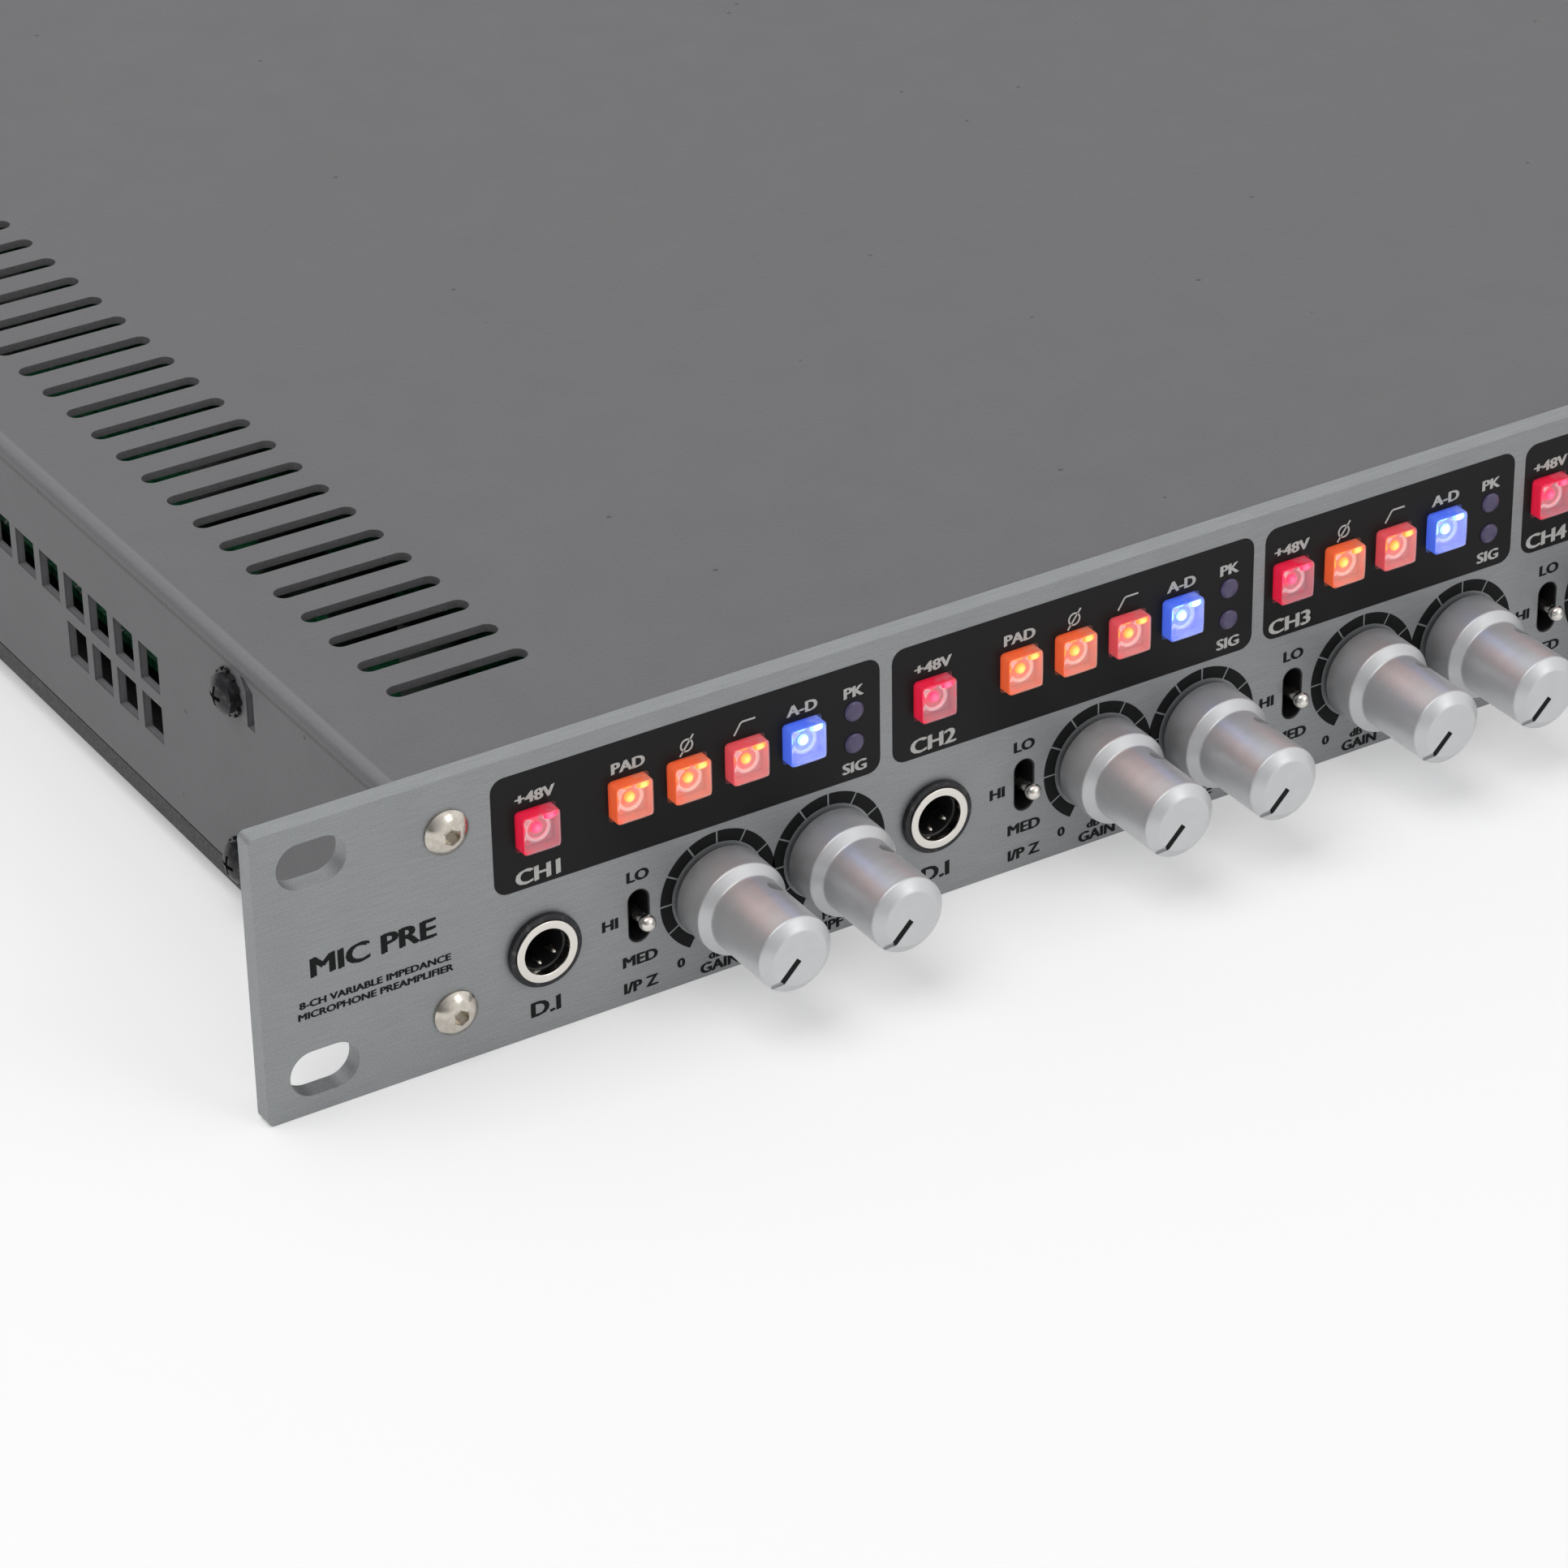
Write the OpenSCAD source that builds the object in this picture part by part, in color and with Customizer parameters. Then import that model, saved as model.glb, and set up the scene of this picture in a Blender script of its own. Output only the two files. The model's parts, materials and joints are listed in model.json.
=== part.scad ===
// Eight channel rack mounted microphone preamplifier, one rack unit high.
// X runs along the front panel to the right, Y runs into the case, Z is up, in millimetres.
// The origin is on the front face of the panel, at the middle of the four rack slots.

/* [Front panel] */
// Length of the panel's ear beyond the side of the case
panel_ear = 22; // [20:0.1:24]
// Height of the panel
panel_h = 44; // [43:0.5:60]
// Thickness of the panel
panel_t = 3; // [2:0.5:4]
// Corner radius of the panel
panel_corner = 1; // [0.5:0.5:2]
// Distance from the end of the panel in to the middle of a rack slot
rack_slot_in = 8.75; // [8:0.05:10]
// Distance between the rack slots, up and down
rack_pitch_z = 31.75; // [25:0.25:34]
// Length of a rack slot
rack_slot_l = 10.3; // [8:0.1:12]
// Height of a rack slot
rack_slot_h = 6.8; // [6:0.1:8]
// Distance from the side of the case in to the panel screws
panel_screw_in = 6.4; // [6:0.1:7]
// Distance between the panel screws, up and down
panel_screw_pitch_z = 28; // [24:0.5:29]

/* [Case] */
// Width of the case
case_w = 438.6; // [436:0.2:530]
// Depth of the case behind the panel
case_d = 300; // [240:5:380]
// Height of the case
case_h = 39.6; // [38.4:0.2:50]
// Thickness of the sheet steel
sheet_t = 1.2; // [0.8:0.1:1.6]
// Distance from the top of the panel down to the cover
case_drop = 1.4; // [0.5:0.1:2]
// Outer bend radius of the cover
bend_r = 1.8; // [1.7:0.1:3]
// Height of the tray's hem that shows below the cover
hem_h = 3.1; // [2:0.1:3.5]
// Gap between sheets that slide over each other
fit_gap = 0.1; // [0.05:0.05:0.2]

/* [Vents] */
// Length of a slot in the cover
vent_l = 21.3; // [12:0.1:26]
// Width of a slot in the cover
vent_w = 3.2; // [2:0.1:4]
// Distance between slots
vent_pitch = 8.15; // [6:0.05:12]
// Middle of the slots, from the side of the case
vent_inset = 22.65; // [20:0.05:40]
// First slot, from the front face of the panel
vent_start = 25.5; // [20:0.5:40]
// Side of a square vent hole
grille_hole = 6.1; // [4:0.1:7]
// Distance between square vent holes
grille_pitch = 8.05; // [7.5:0.05:9]
// First square vent hole, from the front face of the panel
grille_start = 72; // [70:0.5:90]

/* [Channels] */
// Number of channels
channels = 8; // [3:1:8]
// Number of channels with an instrument jack and a pad button
di_channels = 2; // [1:1:3]
// Left edge of the first channel, from the side of the case
first_channel = 13.1; // [13:0.1:14]
// Width of a channel with an instrument jack
wide_channel = 60.4; // [60:0.1:61]
// Width of a plain channel
narrow_channel = 44.2; // [44:0.1:45]
// Gap between channels
channel_gap = 2; // [1.8:0.1:2.4]
// Height of the button row above the middle of the panel
upper_row = 10.3; // [9.5:0.1:11]
// Height of the knob row below the middle of the panel
lower_row = 8.7; // [8.2:0.1:9.2]
// Space between the panel and the control board
control_space = 7.5; // [7.2:0.1:9]

/* [Knobs] */
// Radius of the knob's skirt
skirt_r = 7; // [6.6:0.1:7.6]
// Length of the knob's skirt
skirt_l = 5.5; // [4:0.1:7]
// Radius of the knob's barrel
barrel_r = 5.66; // [5:0.02:6.2]
// Length of the whole knob
knob_l = 20.2; // [17:0.1:24]
// Radius of the knob's flat end
knob_face_r = 4.1; // [3:0.1:4.8]
// Gap between the knob and the panel
knob_gap = 0.8; // [0.5:0.1:1.2]
// Radius of the shaft
shaft_r = 3; // [2.5:0.1:3.1]
// Running clearance round the shaft
shaft_gap = 0.05; // [0.03:0.01:0.08]
// Angle of the pointer from upright with the knob fully down
pointer_rest = -135.5; // [-150:0.5:-120]

/* [Buttons and toggles] */
// Side of a button cap
button_size = 5.7; // [4.5:0.1:7]
// Height of a button cap above the panel
button_out = 2; // [1.5:0.1:3]
// Travel of a button
button_travel = 1.5; // [1:0.1:1.6]
// Gap round a button cap
button_gap = 0.3; // [0.25:0.05:0.4]
// Distance between buttons
button_pitch = 9.05; // [8.8:0.05:9.4]
// Height of the toggle's slot
toggle_slot_h = 8.4; // [8:0.1:10]
// Width of the toggle's slot
toggle_slot_w = 3.5; // [3:0.1:4]
// Height of the toggle's tip above the panel
toggle_out = 3.4; // [2:0.1:5]
// Radius of an indicator lamp
led_r = 1.5; // [1:0.1:1.6]

/* [Sockets] */
// Radius of the bore that takes a 6.35 mm plug
jack_bore_r = 3.3; // [3.25:0.05:3.5]
// Wall of the jack's bushing
jack_bush_wall = 1.1; // [0.9:0.1:1.3]
// Depth of the jack's bore
jack_depth = 26; // [24:0.5:30]
// Distance between microphone sockets
mic_pitch = 26.6; // [26.4:0.1:27]
// Width of a microphone socket's flange
mic_flange_w = 26; // [25:0.1:26.2]
// Height of a microphone socket's flange
mic_flange_h = 31; // [29:0.1:31.5]
// Width of the mains inlet's faceplate
inlet_w = 50; // [49.5:0.5:52]
// Height of the mains inlet's faceplate
inlet_h = 28; // [27.5:0.5:30]

/* [Hidden] */
$fn = 48;
tiny = 0.01;

// Panel
panel_w = case_w + 2 * panel_ear;
rack_pitch_x = panel_w - 2 * rack_slot_in;
panel_screw_pitch_x = case_w - 2 * panel_screw_in;
panel_hole_gap = 0.2;

// Case planes
case_top = panel_h / 2 - case_drop;
case_bottom = case_top - case_h;
floor_top = case_bottom + sheet_t;
cover_under = case_top - sheet_t;
case_back = panel_t + case_d;
cover_edge = case_bottom + hem_h + fit_gap * 2;
case_mid = (floor_top + cover_under) / 2;
wall_out = case_w / 2 - sheet_t - fit_gap;
wall_in = wall_out - sheet_t;
front_wall_l = 63;
low_wall_top = cover_edge + 7;
back_wall_l = 40;
ear_in = case_w / 2 - 11.3;
seat_gap = 0.05;

// Side screws: distance from the front face, and heights
side_screw_front = 49;
side_screw_back = case_back - 10;
side_screw_high = case_top - 7;
side_screw_low = cover_edge + 2.3;
screw_r = 1.5;
thread_gap = 0.05;
screw_hole_r = 1.7;
washer_t = 0.6;

// Controls, counted from the right edge of a channel
filter_in = 8.45;
gain_in = 26.2;
toggle_in = 38.65;
last_button_in = 12.45;
led_in = 4.2;
jack_in = 53.45;
phantom_in = 53.8;
led_drop = 0.7;
led_pitch = 5;
sync_x_gap = 5.2;
rate_led_mid = -lower_row + 1.2;
rate_led_pitch = 4;

// Depths behind the panel
board_t = 1.6;
board_y = panel_t + control_space;
pot_front = panel_t + 1.4;
pot_size = [9.6, 10.5];
bush_r = shaft_r + 1;
jack_bush_r = jack_bore_r + jack_bush_wall;
switch_size = 6.4;
switch_front = board_y - 4.9;
plunger_r = 1.5;
plunger_l = 4.8;
pivot_y = board_y - 3;
housing_w = 6.6;
housing_h = 13;
pin_r = 0.6;
pin_gap = 0.05;
lever_r = 0.8;
toggle_tip_r = 1.2;
jack_body = [15, 13];

// Boards inside
standoff_h = 5;
main_board_z = floor_top + standoff_h;
main_board_top = main_board_z + board_t;
main_board_left = -case_w / 2 + 13.3;
main_board_front = 32;
main_board_back = case_back - 27;
toroid_r = 32;
toroid_h = 29;
toroid_hole_r = 10;
toroid_x = case_w / 2 - 41;
toroid_y = case_back - toroid_r - 34;
clamp_r = 24;
clamp_t = 1.5;
bolt_r = 2.5;
main_board_right = toroid_x - toroid_r - 2.3;
power_left = case_w / 2 - 63.3;
power_right = case_w / 2 - 9.3;
power_front = 40;
power_back = toroid_y - toroid_r - 30;
board_stud_r = 2.75;

// Rear panel fittings
rear_t = 1.5;
rear_in = case_back - rear_t;
rear_half = wall_in - fit_gap;
flange_t = 2;
mic_x = -case_w / 2 + 21.3;
mic_barrel_r = 11.9;
mic_barrel_l = 20;
mic_ring_r = 9.7;
mic_ring_l = 14;
mic_core_r = 7.9;
mic_core_in = 1;
mic_contact_r = 1.3;
mic_contact_at = 4.1;
mic_contact_l = 12;
mic_screw_at = [9.5, 12];
mic_pin_pitch = 5;
mic_pin_z = case_mid - 6;
mic_pin_t = 1;
dsub_x = mic_x + 8 * mic_pitch + 15;
dsub_pitch_x = 58;
dsub_pitch_z = 17;
dsub_screw_x = 23.5;
optical_x = dsub_x + dsub_pitch_x - 15;
optical_pitch = 15;
clock_x = dsub_x + dsub_pitch_x + 40;
clock_pitch = 18;
clock_r = 4.8;
clock_nut_r = 7.2;
clock_nut_t = 2.4;
inlet_x = case_w / 2 - 38;
inlet_depth = 28;
socket_at = [6.2, 3.5];
socket_size = [24.4, 16.8];
drawer_at = [6.2, -9.8];
drawer_size = [20, 5];
drawer_depth = 18;
drawer_gap = 0.3;
rocker_at = [-13, 0];
rocker_size = [10.6, 20];
rocker_rest = 8;
rocker_gap = 0.4;
rocker_pin_r = 1;
rocker_pin_y = case_back - 4;
inlet_body = [inlet_w - 12, inlet_h - 4];

button_names = ["converter", "highpass", "polarity", "pad"];

// Channel i is counted from 1; its right edge is measured along X.
function is_wide(i) = i <= di_channels;
function channel_w(i) = is_wide(i) ? wide_channel : narrow_channel;
function channel_right(i) =
    -case_w / 2 + first_channel + channel_w(i)
    + (is_wide(i) ? (i - 1) * (wide_channel + channel_gap)
       : di_channels * (wide_channel + channel_gap)
         + (i - 1 - di_channels) * (narrow_channel + channel_gap));
function gain_x(i) = channel_right(i) - gain_in;
function filter_x(i) = channel_right(i) - filter_in;
function toggle_x(i) = channel_right(i) - toggle_in;
function jack_x(i) = channel_right(i) - jack_in;
function button_x(i, k) = channel_right(i) - last_button_in - k * button_pitch;
function phantom_x(i) = is_wide(i) ? channel_right(i) - phantom_in : button_x(i, 3);
function channel_button_xs(i) = concat(
    [for (k = [0:(is_wide(i) ? 3 : 2)]) button_x(i, k)], [phantom_x(i)]);
sync_x = channel_right(channels) + channel_gap + sync_x_gap;
all_button_xs = concat([for (i = [1:channels]) each channel_button_xs(i)], [sync_x]);
knob_xs = [for (i = [1:channels]) each [gain_x(i), filter_x(i)]];
toggle_xs = [for (i = [1:channels]) toggle_x(i)];
jack_xs = [for (i = [1:di_channels]) jack_x(i)];
led_mid = upper_row - led_drop;
led_points = concat(
    [for (i = [1:channels], s = [-1, 1]) [channel_right(i) - led_in, led_mid + s * led_pitch / 2]],
    [for (k = [0:3]) [sync_x, rate_led_mid + (k - 1.5) * rate_led_pitch]]);
panel_screw_points = [for (sx = [-1, 1], sz = [-1, 1])
    [sx * panel_screw_pitch_x / 2, sz * panel_screw_pitch_z / 2]];
side_screw_points = [for (y = [side_screw_front, side_screw_back],
    z = [side_screw_low, side_screw_high]) [y, z]];
mic_xs = [for (i = [0:7]) mic_x + i * mic_pitch];
mic_screws = [for (x = mic_xs, s = [-1, 1]) [x + s * mic_screw_at.x, case_mid + s * mic_screw_at.y]];
dsub_points = [[dsub_x, -1], [dsub_x, 1], [dsub_x + dsub_pitch_x, 1]];
optical_xs = [for (k = [0:2]) optical_x + k * optical_pitch];
inlet_screws = [for (s = [-1, 1]) inlet_x + s * (inlet_w / 2 - 3)];
main_board_studs = [for (x = [main_board_left + 6, 0, main_board_right - 6],
    y = [main_board_front + 8, main_board_back - 20]) [x, y]];
power_studs = [for (x = [power_left + 5, power_right - 5],
    y = [power_front + 5, power_back - 5]) [x, y]];

// A flat outline in X and Z, given thickness t behind the plane y.
module upright(y, t) {
    translate([0, y + t, 0]) rotate([90, 0, 0]) linear_extrude(t) children();
}

// A rod along Y, from the plane y, of length l.
module rod(x, y, z, r, l) {
    translate([x, y, z]) rotate([-90, 0, 0]) cylinder(r = r, h = l);
}

// A rectangle with round corners, centred.
module round_rect(w, h, r) {
    square([w - 2 * r, h], center = true);
    square([w, h - 2 * r], center = true);
    for (sx = [-1, 1], sy = [-1, 1])
        translate([sx * (w / 2 - r), sy * (h / 2 - r)]) circle(r);
}

// A slot with round ends along the first axis, centred.
module slot(l, w) {
    square([l - w, w], center = true);
    for (s = [-1, 1]) translate([s * (l - w) / 2, 0]) circle(w / 2);
}

// A box from its low corner to its high corner.
module block(low, high) {
    translate(low) cube(high - low);
}

module front_panel() {
    color([0.62, 0.63, 0.64]) upright(0, panel_t) difference() {
        round_rect(panel_w, panel_h, panel_corner);
        for (sx = [-1, 1], sz = [-1, 1])
            translate([sx * rack_pitch_x / 2, sz * rack_pitch_z / 2]) slot(rack_slot_l, rack_slot_h);
        for (p = panel_screw_points) translate(p) circle(screw_hole_r);
        for (x = all_button_xs)
            translate([x, upper_row])
                round_rect(button_size + 2 * button_gap, button_size + 2 * button_gap, 0.6);
        for (x = knob_xs) translate([x, -lower_row]) circle(bush_r + panel_hole_gap);
        for (x = toggle_xs) translate([x, -lower_row]) rotate(90) slot(toggle_slot_h, toggle_slot_w);
        for (x = jack_xs) translate([x, -lower_row]) circle(jack_bush_r + panel_hole_gap);
        for (p = led_points) translate(p) circle(led_r + 0.1);
    }
}

// The tray's side wall, seen from the side: full height at both ends, low between them.
module tray_wall_outline() {
    top = cover_under - fit_gap;
    polygon([[panel_t, case_bottom], [case_back, case_bottom], [case_back, top],
             [case_back - back_wall_l, top], [case_back - back_wall_l, low_wall_top],
             [panel_t + front_wall_l, low_wall_top], [panel_t + front_wall_l, top],
             [panel_t, top]]);
}

module base_tray() {
    color([0.09, 0.09, 0.1]) {
        difference() {
            union() {
                block([-case_w / 2, panel_t, case_bottom], [case_w / 2, case_back, floor_top]);
                for (s = [-1, 1]) {
                    translate([s * (wall_in + wall_out) / 2, 0, 0]) rotate([90, 0, 90])
                        translate([0, 0, -sheet_t / 2]) linear_extrude(sheet_t) tray_wall_outline();
                    translate([s * (case_w - sheet_t) / 2, 0, 0])
                        block([-sheet_t / 2, panel_t, case_bottom],
                              [sheet_t / 2, case_back, case_bottom + hem_h]);
                    translate([s * (ear_in + wall_out) / 2, 0, 0])
                        block([(ear_in - wall_out) / 2, panel_t, case_bottom],
                              [(wall_out - ear_in) / 2, panel_t + sheet_t, cover_under - fit_gap]);
                }
                block([-ear_in, panel_t, case_bottom],
                      [ear_in, panel_t + sheet_t, case_bottom + hem_h]);
                for (p = concat(main_board_studs, power_studs)) translate([p.x, p.y, case_bottom])
                    cylinder(r = board_stud_r, h = standoff_h + sheet_t);
            }
            for (p = panel_screw_points) rod(p.x, 0, p.y, screw_r + thread_gap, 10);
            for (p = side_screw_points) translate([-case_w / 2 - 1, p.x, p.y]) rotate([0, 90, 0])
                cylinder(r = screw_r + thread_gap, h = case_w + 2);
            for (p = concat(main_board_studs, power_studs))
                translate([p.x, p.y, case_bottom - 1]) cylinder(r = screw_r + thread_gap, h = 20);
            translate([toroid_x, toroid_y, case_bottom - 1]) cylinder(r = bolt_r + thread_gap, h = 10);
        }
    }
}

module top_vents() {
    last = case_back - 38;
    for (s = [-1, 1], y = [vent_start : vent_pitch : last])
        translate([s * (case_w / 2 - vent_inset), y]) slot(vent_l, vent_w);
}

// Two rows of square holes and the hooked slot beside the upper screw, in Y and Z.
module side_vents() {
    for (k = [0:9]) translate([grille_start + k * grille_pitch, case_mid + 1.1])
        square(grille_hole);
    for (k = [0:3]) translate([grille_start + k * grille_pitch, case_mid + 1.1 - grille_pitch])
        square(grille_hole);
    translate([side_screw_front - 4, side_screw_high]) {
        translate([-3, -3.2]) square([2.2, 5.4]);
        polygon([[-3, 2.2], [-0.8, 2.2], [0.6, 4.2], [-0.8, 4.2], [-3, 2.9]]);
    }
}

module top_cover() {
    y0 = panel_t + 0.3;
    l = case_back - y0;
    inner_r = bend_r - sheet_t;
    color([0.36, 0.36, 0.38]) difference() {
        upright(y0, l) translate([0, case_top - case_h / 2]) difference() {
            round_rect(case_w, case_h, bend_r);
            round_rect(case_w - 2 * sheet_t, case_h - 2 * sheet_t, inner_r);
            translate([0, cover_edge - case_top])
                square([case_w + 2, case_h], center = true);
        }
        translate([0, 0, cover_under - 1]) linear_extrude(sheet_t + 2) top_vents();
        for (s = [-1, 1]) translate([s * case_w / 2 - 3, 0, 0]) rotate([90, 0, 90])
            linear_extrude(6) side_vents();
        for (p = side_screw_points) translate([-case_w / 2 - 1, p.x, p.y]) rotate([0, 90, 0])
            cylinder(r = screw_hole_r, h = case_w + 2);
    }
}

module rear_cutouts() {
    for (x = mic_xs) translate([x, case_mid]) circle(mic_barrel_r + fit_gap);
    for (p = mic_screws) translate(p) circle(screw_hole_r);
    for (p = dsub_points) translate([p.x, case_mid + p.y * dsub_pitch_z / 2]) {
        square([41, 10.4], center = true);
        for (s = [-1, 1]) translate([s * dsub_screw_x, 0]) circle(screw_hole_r);
    }
    for (x = optical_xs) translate([x, case_mid - dsub_pitch_z / 2]) square([10.4, 10.4], center = true);
    for (s = [-1, 1]) translate([clock_x, case_mid + s * clock_pitch / 2]) circle(clock_r + fit_gap);
    translate([inlet_x, case_mid]) square(inlet_body + [1, 1], center = true);
    for (x = inlet_screws) translate([x, case_mid]) circle(screw_hole_r);
}

module rear_panel() {
    low = floor_top + fit_gap;
    high = cover_under - fit_gap;
    color([0.09, 0.09, 0.1]) difference() {
        union() {
            upright(rear_in, rear_t) difference() {
                translate([0, (low + high) / 2]) square([2 * rear_half, high - low], center = true);
                rear_cutouts();
            }
            for (s = [-1, 1]) translate([s * (rear_half - rear_t / 2), 0, 0])
                block([-rear_t / 2, case_back - 16, low], [rear_t / 2, case_back - tiny, high]);
        }
        for (z = [side_screw_low, side_screw_high])
            translate([-case_w / 2, side_screw_back, z]) rotate([0, 90, 0])
                cylinder(r = screw_r + thread_gap, h = case_w);
    }
}

module main_board() {
    color([0.05, 0.3, 0.14]) difference() {
        block([main_board_left, main_board_front, main_board_z],
              [main_board_right, main_board_back, main_board_top]);
        for (p = main_board_studs) translate([p.x, p.y, main_board_z - 1])
            cylinder(r = screw_hole_r, h = board_t + 2);
    }
    strip = (main_board_right - main_board_left) / 8;
    for (i = [0:7]) translate([main_board_left + (i + 0.5) * strip, 0, main_board_top]) {
        color([0.12, 0.12, 0.14]) for (y = [0:2])
            translate([-12, main_board_front + 40 + y * 24, 0]) cube([9, 7, 3]);
        color([0.16, 0.2, 0.3]) for (y = [0:3])
            translate([6, main_board_front + 36 + y * 22, 0]) cylinder(r = 5, h = 13);
        color([0.75, 0.75, 0.7]) for (s = [-1, 1])
            translate([s * 6 - 5, main_board_back - 70, 0]) cube([10, 18, 9]);
    }
    for (x = mic_xs, s = [-1, 0, 1]) translate([x + s * mic_pin_pitch, 0, 0]) mic_pin();
}

// A bent pin that stands on the main board and meets the back of a microphone socket.
module mic_pin() {
    half = mic_pin_t / 2;
    front = main_board_back - 6;
    color([0.8, 0.8, 0.75]) {
        block([-half, front, main_board_z], [half, front + mic_pin_t, mic_pin_z + half]);
        block([-half, front, mic_pin_z - half], [half, case_back - mic_barrel_l, mic_pin_z + half]);
    }
}

module control_board() {
    half = ear_in - 2;
    color([0.05, 0.3, 0.14]) upright(board_y, board_t) difference() {
        translate([-half, floor_top + 1]) square([2 * half, case_h - 6]);
        for (x = jack_xs) translate([x, -lower_row])
            square([jack_body.x + 0.6, jack_body.y + 0.6], center = true);
    }
    color([0.12, 0.12, 0.13]) for (i = [1:channels])
        translate([channel_right(i) - narrow_channel / 2, 0, 0])
            block([-10, board_y + board_t, main_board_top],
                  [10, main_board_front + 4, main_board_top + 2.5]);
}

module power_supply() {
    color([0.05, 0.3, 0.14]) difference() {
        block([power_left, power_front, main_board_z], [power_right, power_back, main_board_top]);
        for (p = power_studs) translate([p.x, p.y, main_board_z - 1])
            cylinder(r = screw_hole_r, h = board_t + 2);
    }
    mid = (power_left + power_right) / 2;
    cap_r = 9;
    cap_start = 22;
    cap_pitch = 26;
    rows = floor((power_back - power_front - cap_start - cap_r - 38) / cap_pitch);
    color([0.1, 0.1, 0.12]) for (k = [0:rows], s = [-1, 1])
        translate([mid + s * 12, power_front + cap_start + k * cap_pitch, main_board_top])
            cylinder(r = cap_r, h = 24);
    color([0.6, 0.6, 0.62]) translate([mid - 22, power_back - 34, main_board_top]) {
        cube([44, 4, 25]);
        for (k = [0:7]) translate([k * 6, 4, 0]) cube([2, 16, 25]);
    }
}

module mains_transformer() {
    z = floor_top;
    color([0.75, 0.6, 0.15]) translate([toroid_x, toroid_y, z]) rotate_extrude() difference() {
        translate([toroid_hole_r, 0]) square([toroid_r - toroid_hole_r, toroid_h]);
        for (x = [toroid_hole_r, toroid_r], y = [0, toroid_h]) translate([x, y]) rotate(45)
            square(5, center = true);
    }
    color([0.2, 0.2, 0.2]) translate([toroid_x, toroid_y, z + toroid_h]) difference() {
        cylinder(r = clamp_r, h = clamp_t);
        translate([0, 0, -1]) cylinder(r = bolt_r + thread_gap, h = clamp_t + 2);
    }
    color([0.7, 0.7, 0.7]) translate([toroid_x, toroid_y, case_bottom]) {
        cylinder(r = bolt_r, h = sheet_t + toroid_h + 4);
        translate([0, 0, sheet_t + toroid_h + clamp_t]) cylinder(r = 4.6, h = 3, $fn = 6);
    }
}

// A microphone socket's housing, with its latch.
module mic_socket() {
    difference() {
        union() {
            upright(case_back, flange_t) round_rect(mic_flange_w, mic_flange_h, 2.5);
            rod(0, case_back - mic_barrel_l, 0, mic_barrel_r, mic_barrel_l + tiny);
            upright(case_back, flange_t + 1.2) translate([0, 12]) round_rect(8, 4.4, 1);
        }
        rod(0, case_back + flange_t - mic_ring_l, 0, mic_ring_r, mic_ring_l + 1);
        for (s = [-1, 1])
            rod(s * mic_screw_at.x, case_back - 1, s * mic_screw_at.y, screw_hole_r, flange_t + 2);
    }
}

// The round core inside a microphone socket, with the three holes of its contacts.
module mic_socket_core() {
    face = case_back + flange_t;
    difference() {
        rod(0, face - mic_ring_l + seat_gap, 0, mic_core_r, mic_ring_l - seat_gap - mic_core_in);
        for (a = [90, 210, 330])
            rod(mic_contact_at * cos(a), face - mic_contact_l, -mic_contact_at * sin(a),
                mic_contact_r, mic_contact_l);
    }
}

module mic_sockets() {
    color([0.13, 0.13, 0.14]) for (x = mic_xs) translate([x, 0, case_mid]) mic_socket();
}

module mic_socket_cores() {
    color([0.1, 0.1, 0.11]) for (x = mic_xs) translate([x, 0, case_mid]) mic_socket_core();
}

// The tapered outline of a 25 way D connector, centred.
module d_outline(w, h) {
    lean = h * 0.18;
    polygon([[-w / 2, h / 2], [w / 2, h / 2], [w / 2 - lean, -h / 2], [-w / 2 + lean, -h / 2]]);
}

module d_sub_socket() {
    color([0.75, 0.75, 0.76]) {
        upright(case_back, 1) difference() {
            round_rect(53, 12.5, 1);
            for (s = [-1, 1]) translate([s * dsub_screw_x, 0]) circle(screw_r + 0.1);
            d_outline(36, 6);
        }
        upright(case_back + 1, 5) difference() {
            d_outline(39, 8.4);
            d_outline(38, 7.6);
        }
        for (s = [-1, 1]) {
            rod(s * dsub_screw_x, case_back - 6, 0, screw_r, 7);
            translate([s * dsub_screw_x, case_back + 1, 0]) rotate([-90, 0, 0])
                cylinder(r = 2.7, h = 4.8, $fn = 6);
        }
    }
    color([0.1, 0.1, 0.1]) {
        upright(case_back + 1, 4.6) d_outline(37.8, 7.4);
        block([-20, case_back - 12, -5], [20, case_back, 5]);
    }
}

module d_sub_sockets() {
    for (p = dsub_points) translate([p.x, 0, case_mid + p.y * dsub_pitch_z / 2]) d_sub_socket();
}

// A coaxial socket: the threaded barrel with two bayonet lugs, its contact and its two nuts.
module clock_socket() {
    front = case_back + 4;
    color([0.8, 0.8, 0.8]) {
        difference() {
            union() {
                rod(0, rear_in - 5, 0, clock_r, 19);
                for (a = [0, 180]) rotate([0, a, 0]) translate([clock_r - 0.8, case_back + 9, 0])
                    rotate([0, 90, 0]) cylinder(r = 1, h = 1.8);
            }
            rod(0, front, 0, clock_r - 0.7, 20);
        }
        for (y = [rear_in - clock_nut_t, case_back]) difference() {
            translate([0, y, 0]) rotate([-90, 0, 0]) cylinder(r = clock_nut_r, h = clock_nut_t, $fn = 6);
            rod(0, y - 1, 0, clock_r + thread_gap, clock_nut_t + 2);
        }
    }
    color([0.9, 0.7, 0.3]) rod(0, front, 0, 1.1, 7);
}

module clock_sockets() {
    for (s = [-1, 1]) translate([clock_x, 0, case_mid + s * clock_pitch / 2]) clock_socket();
}

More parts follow.
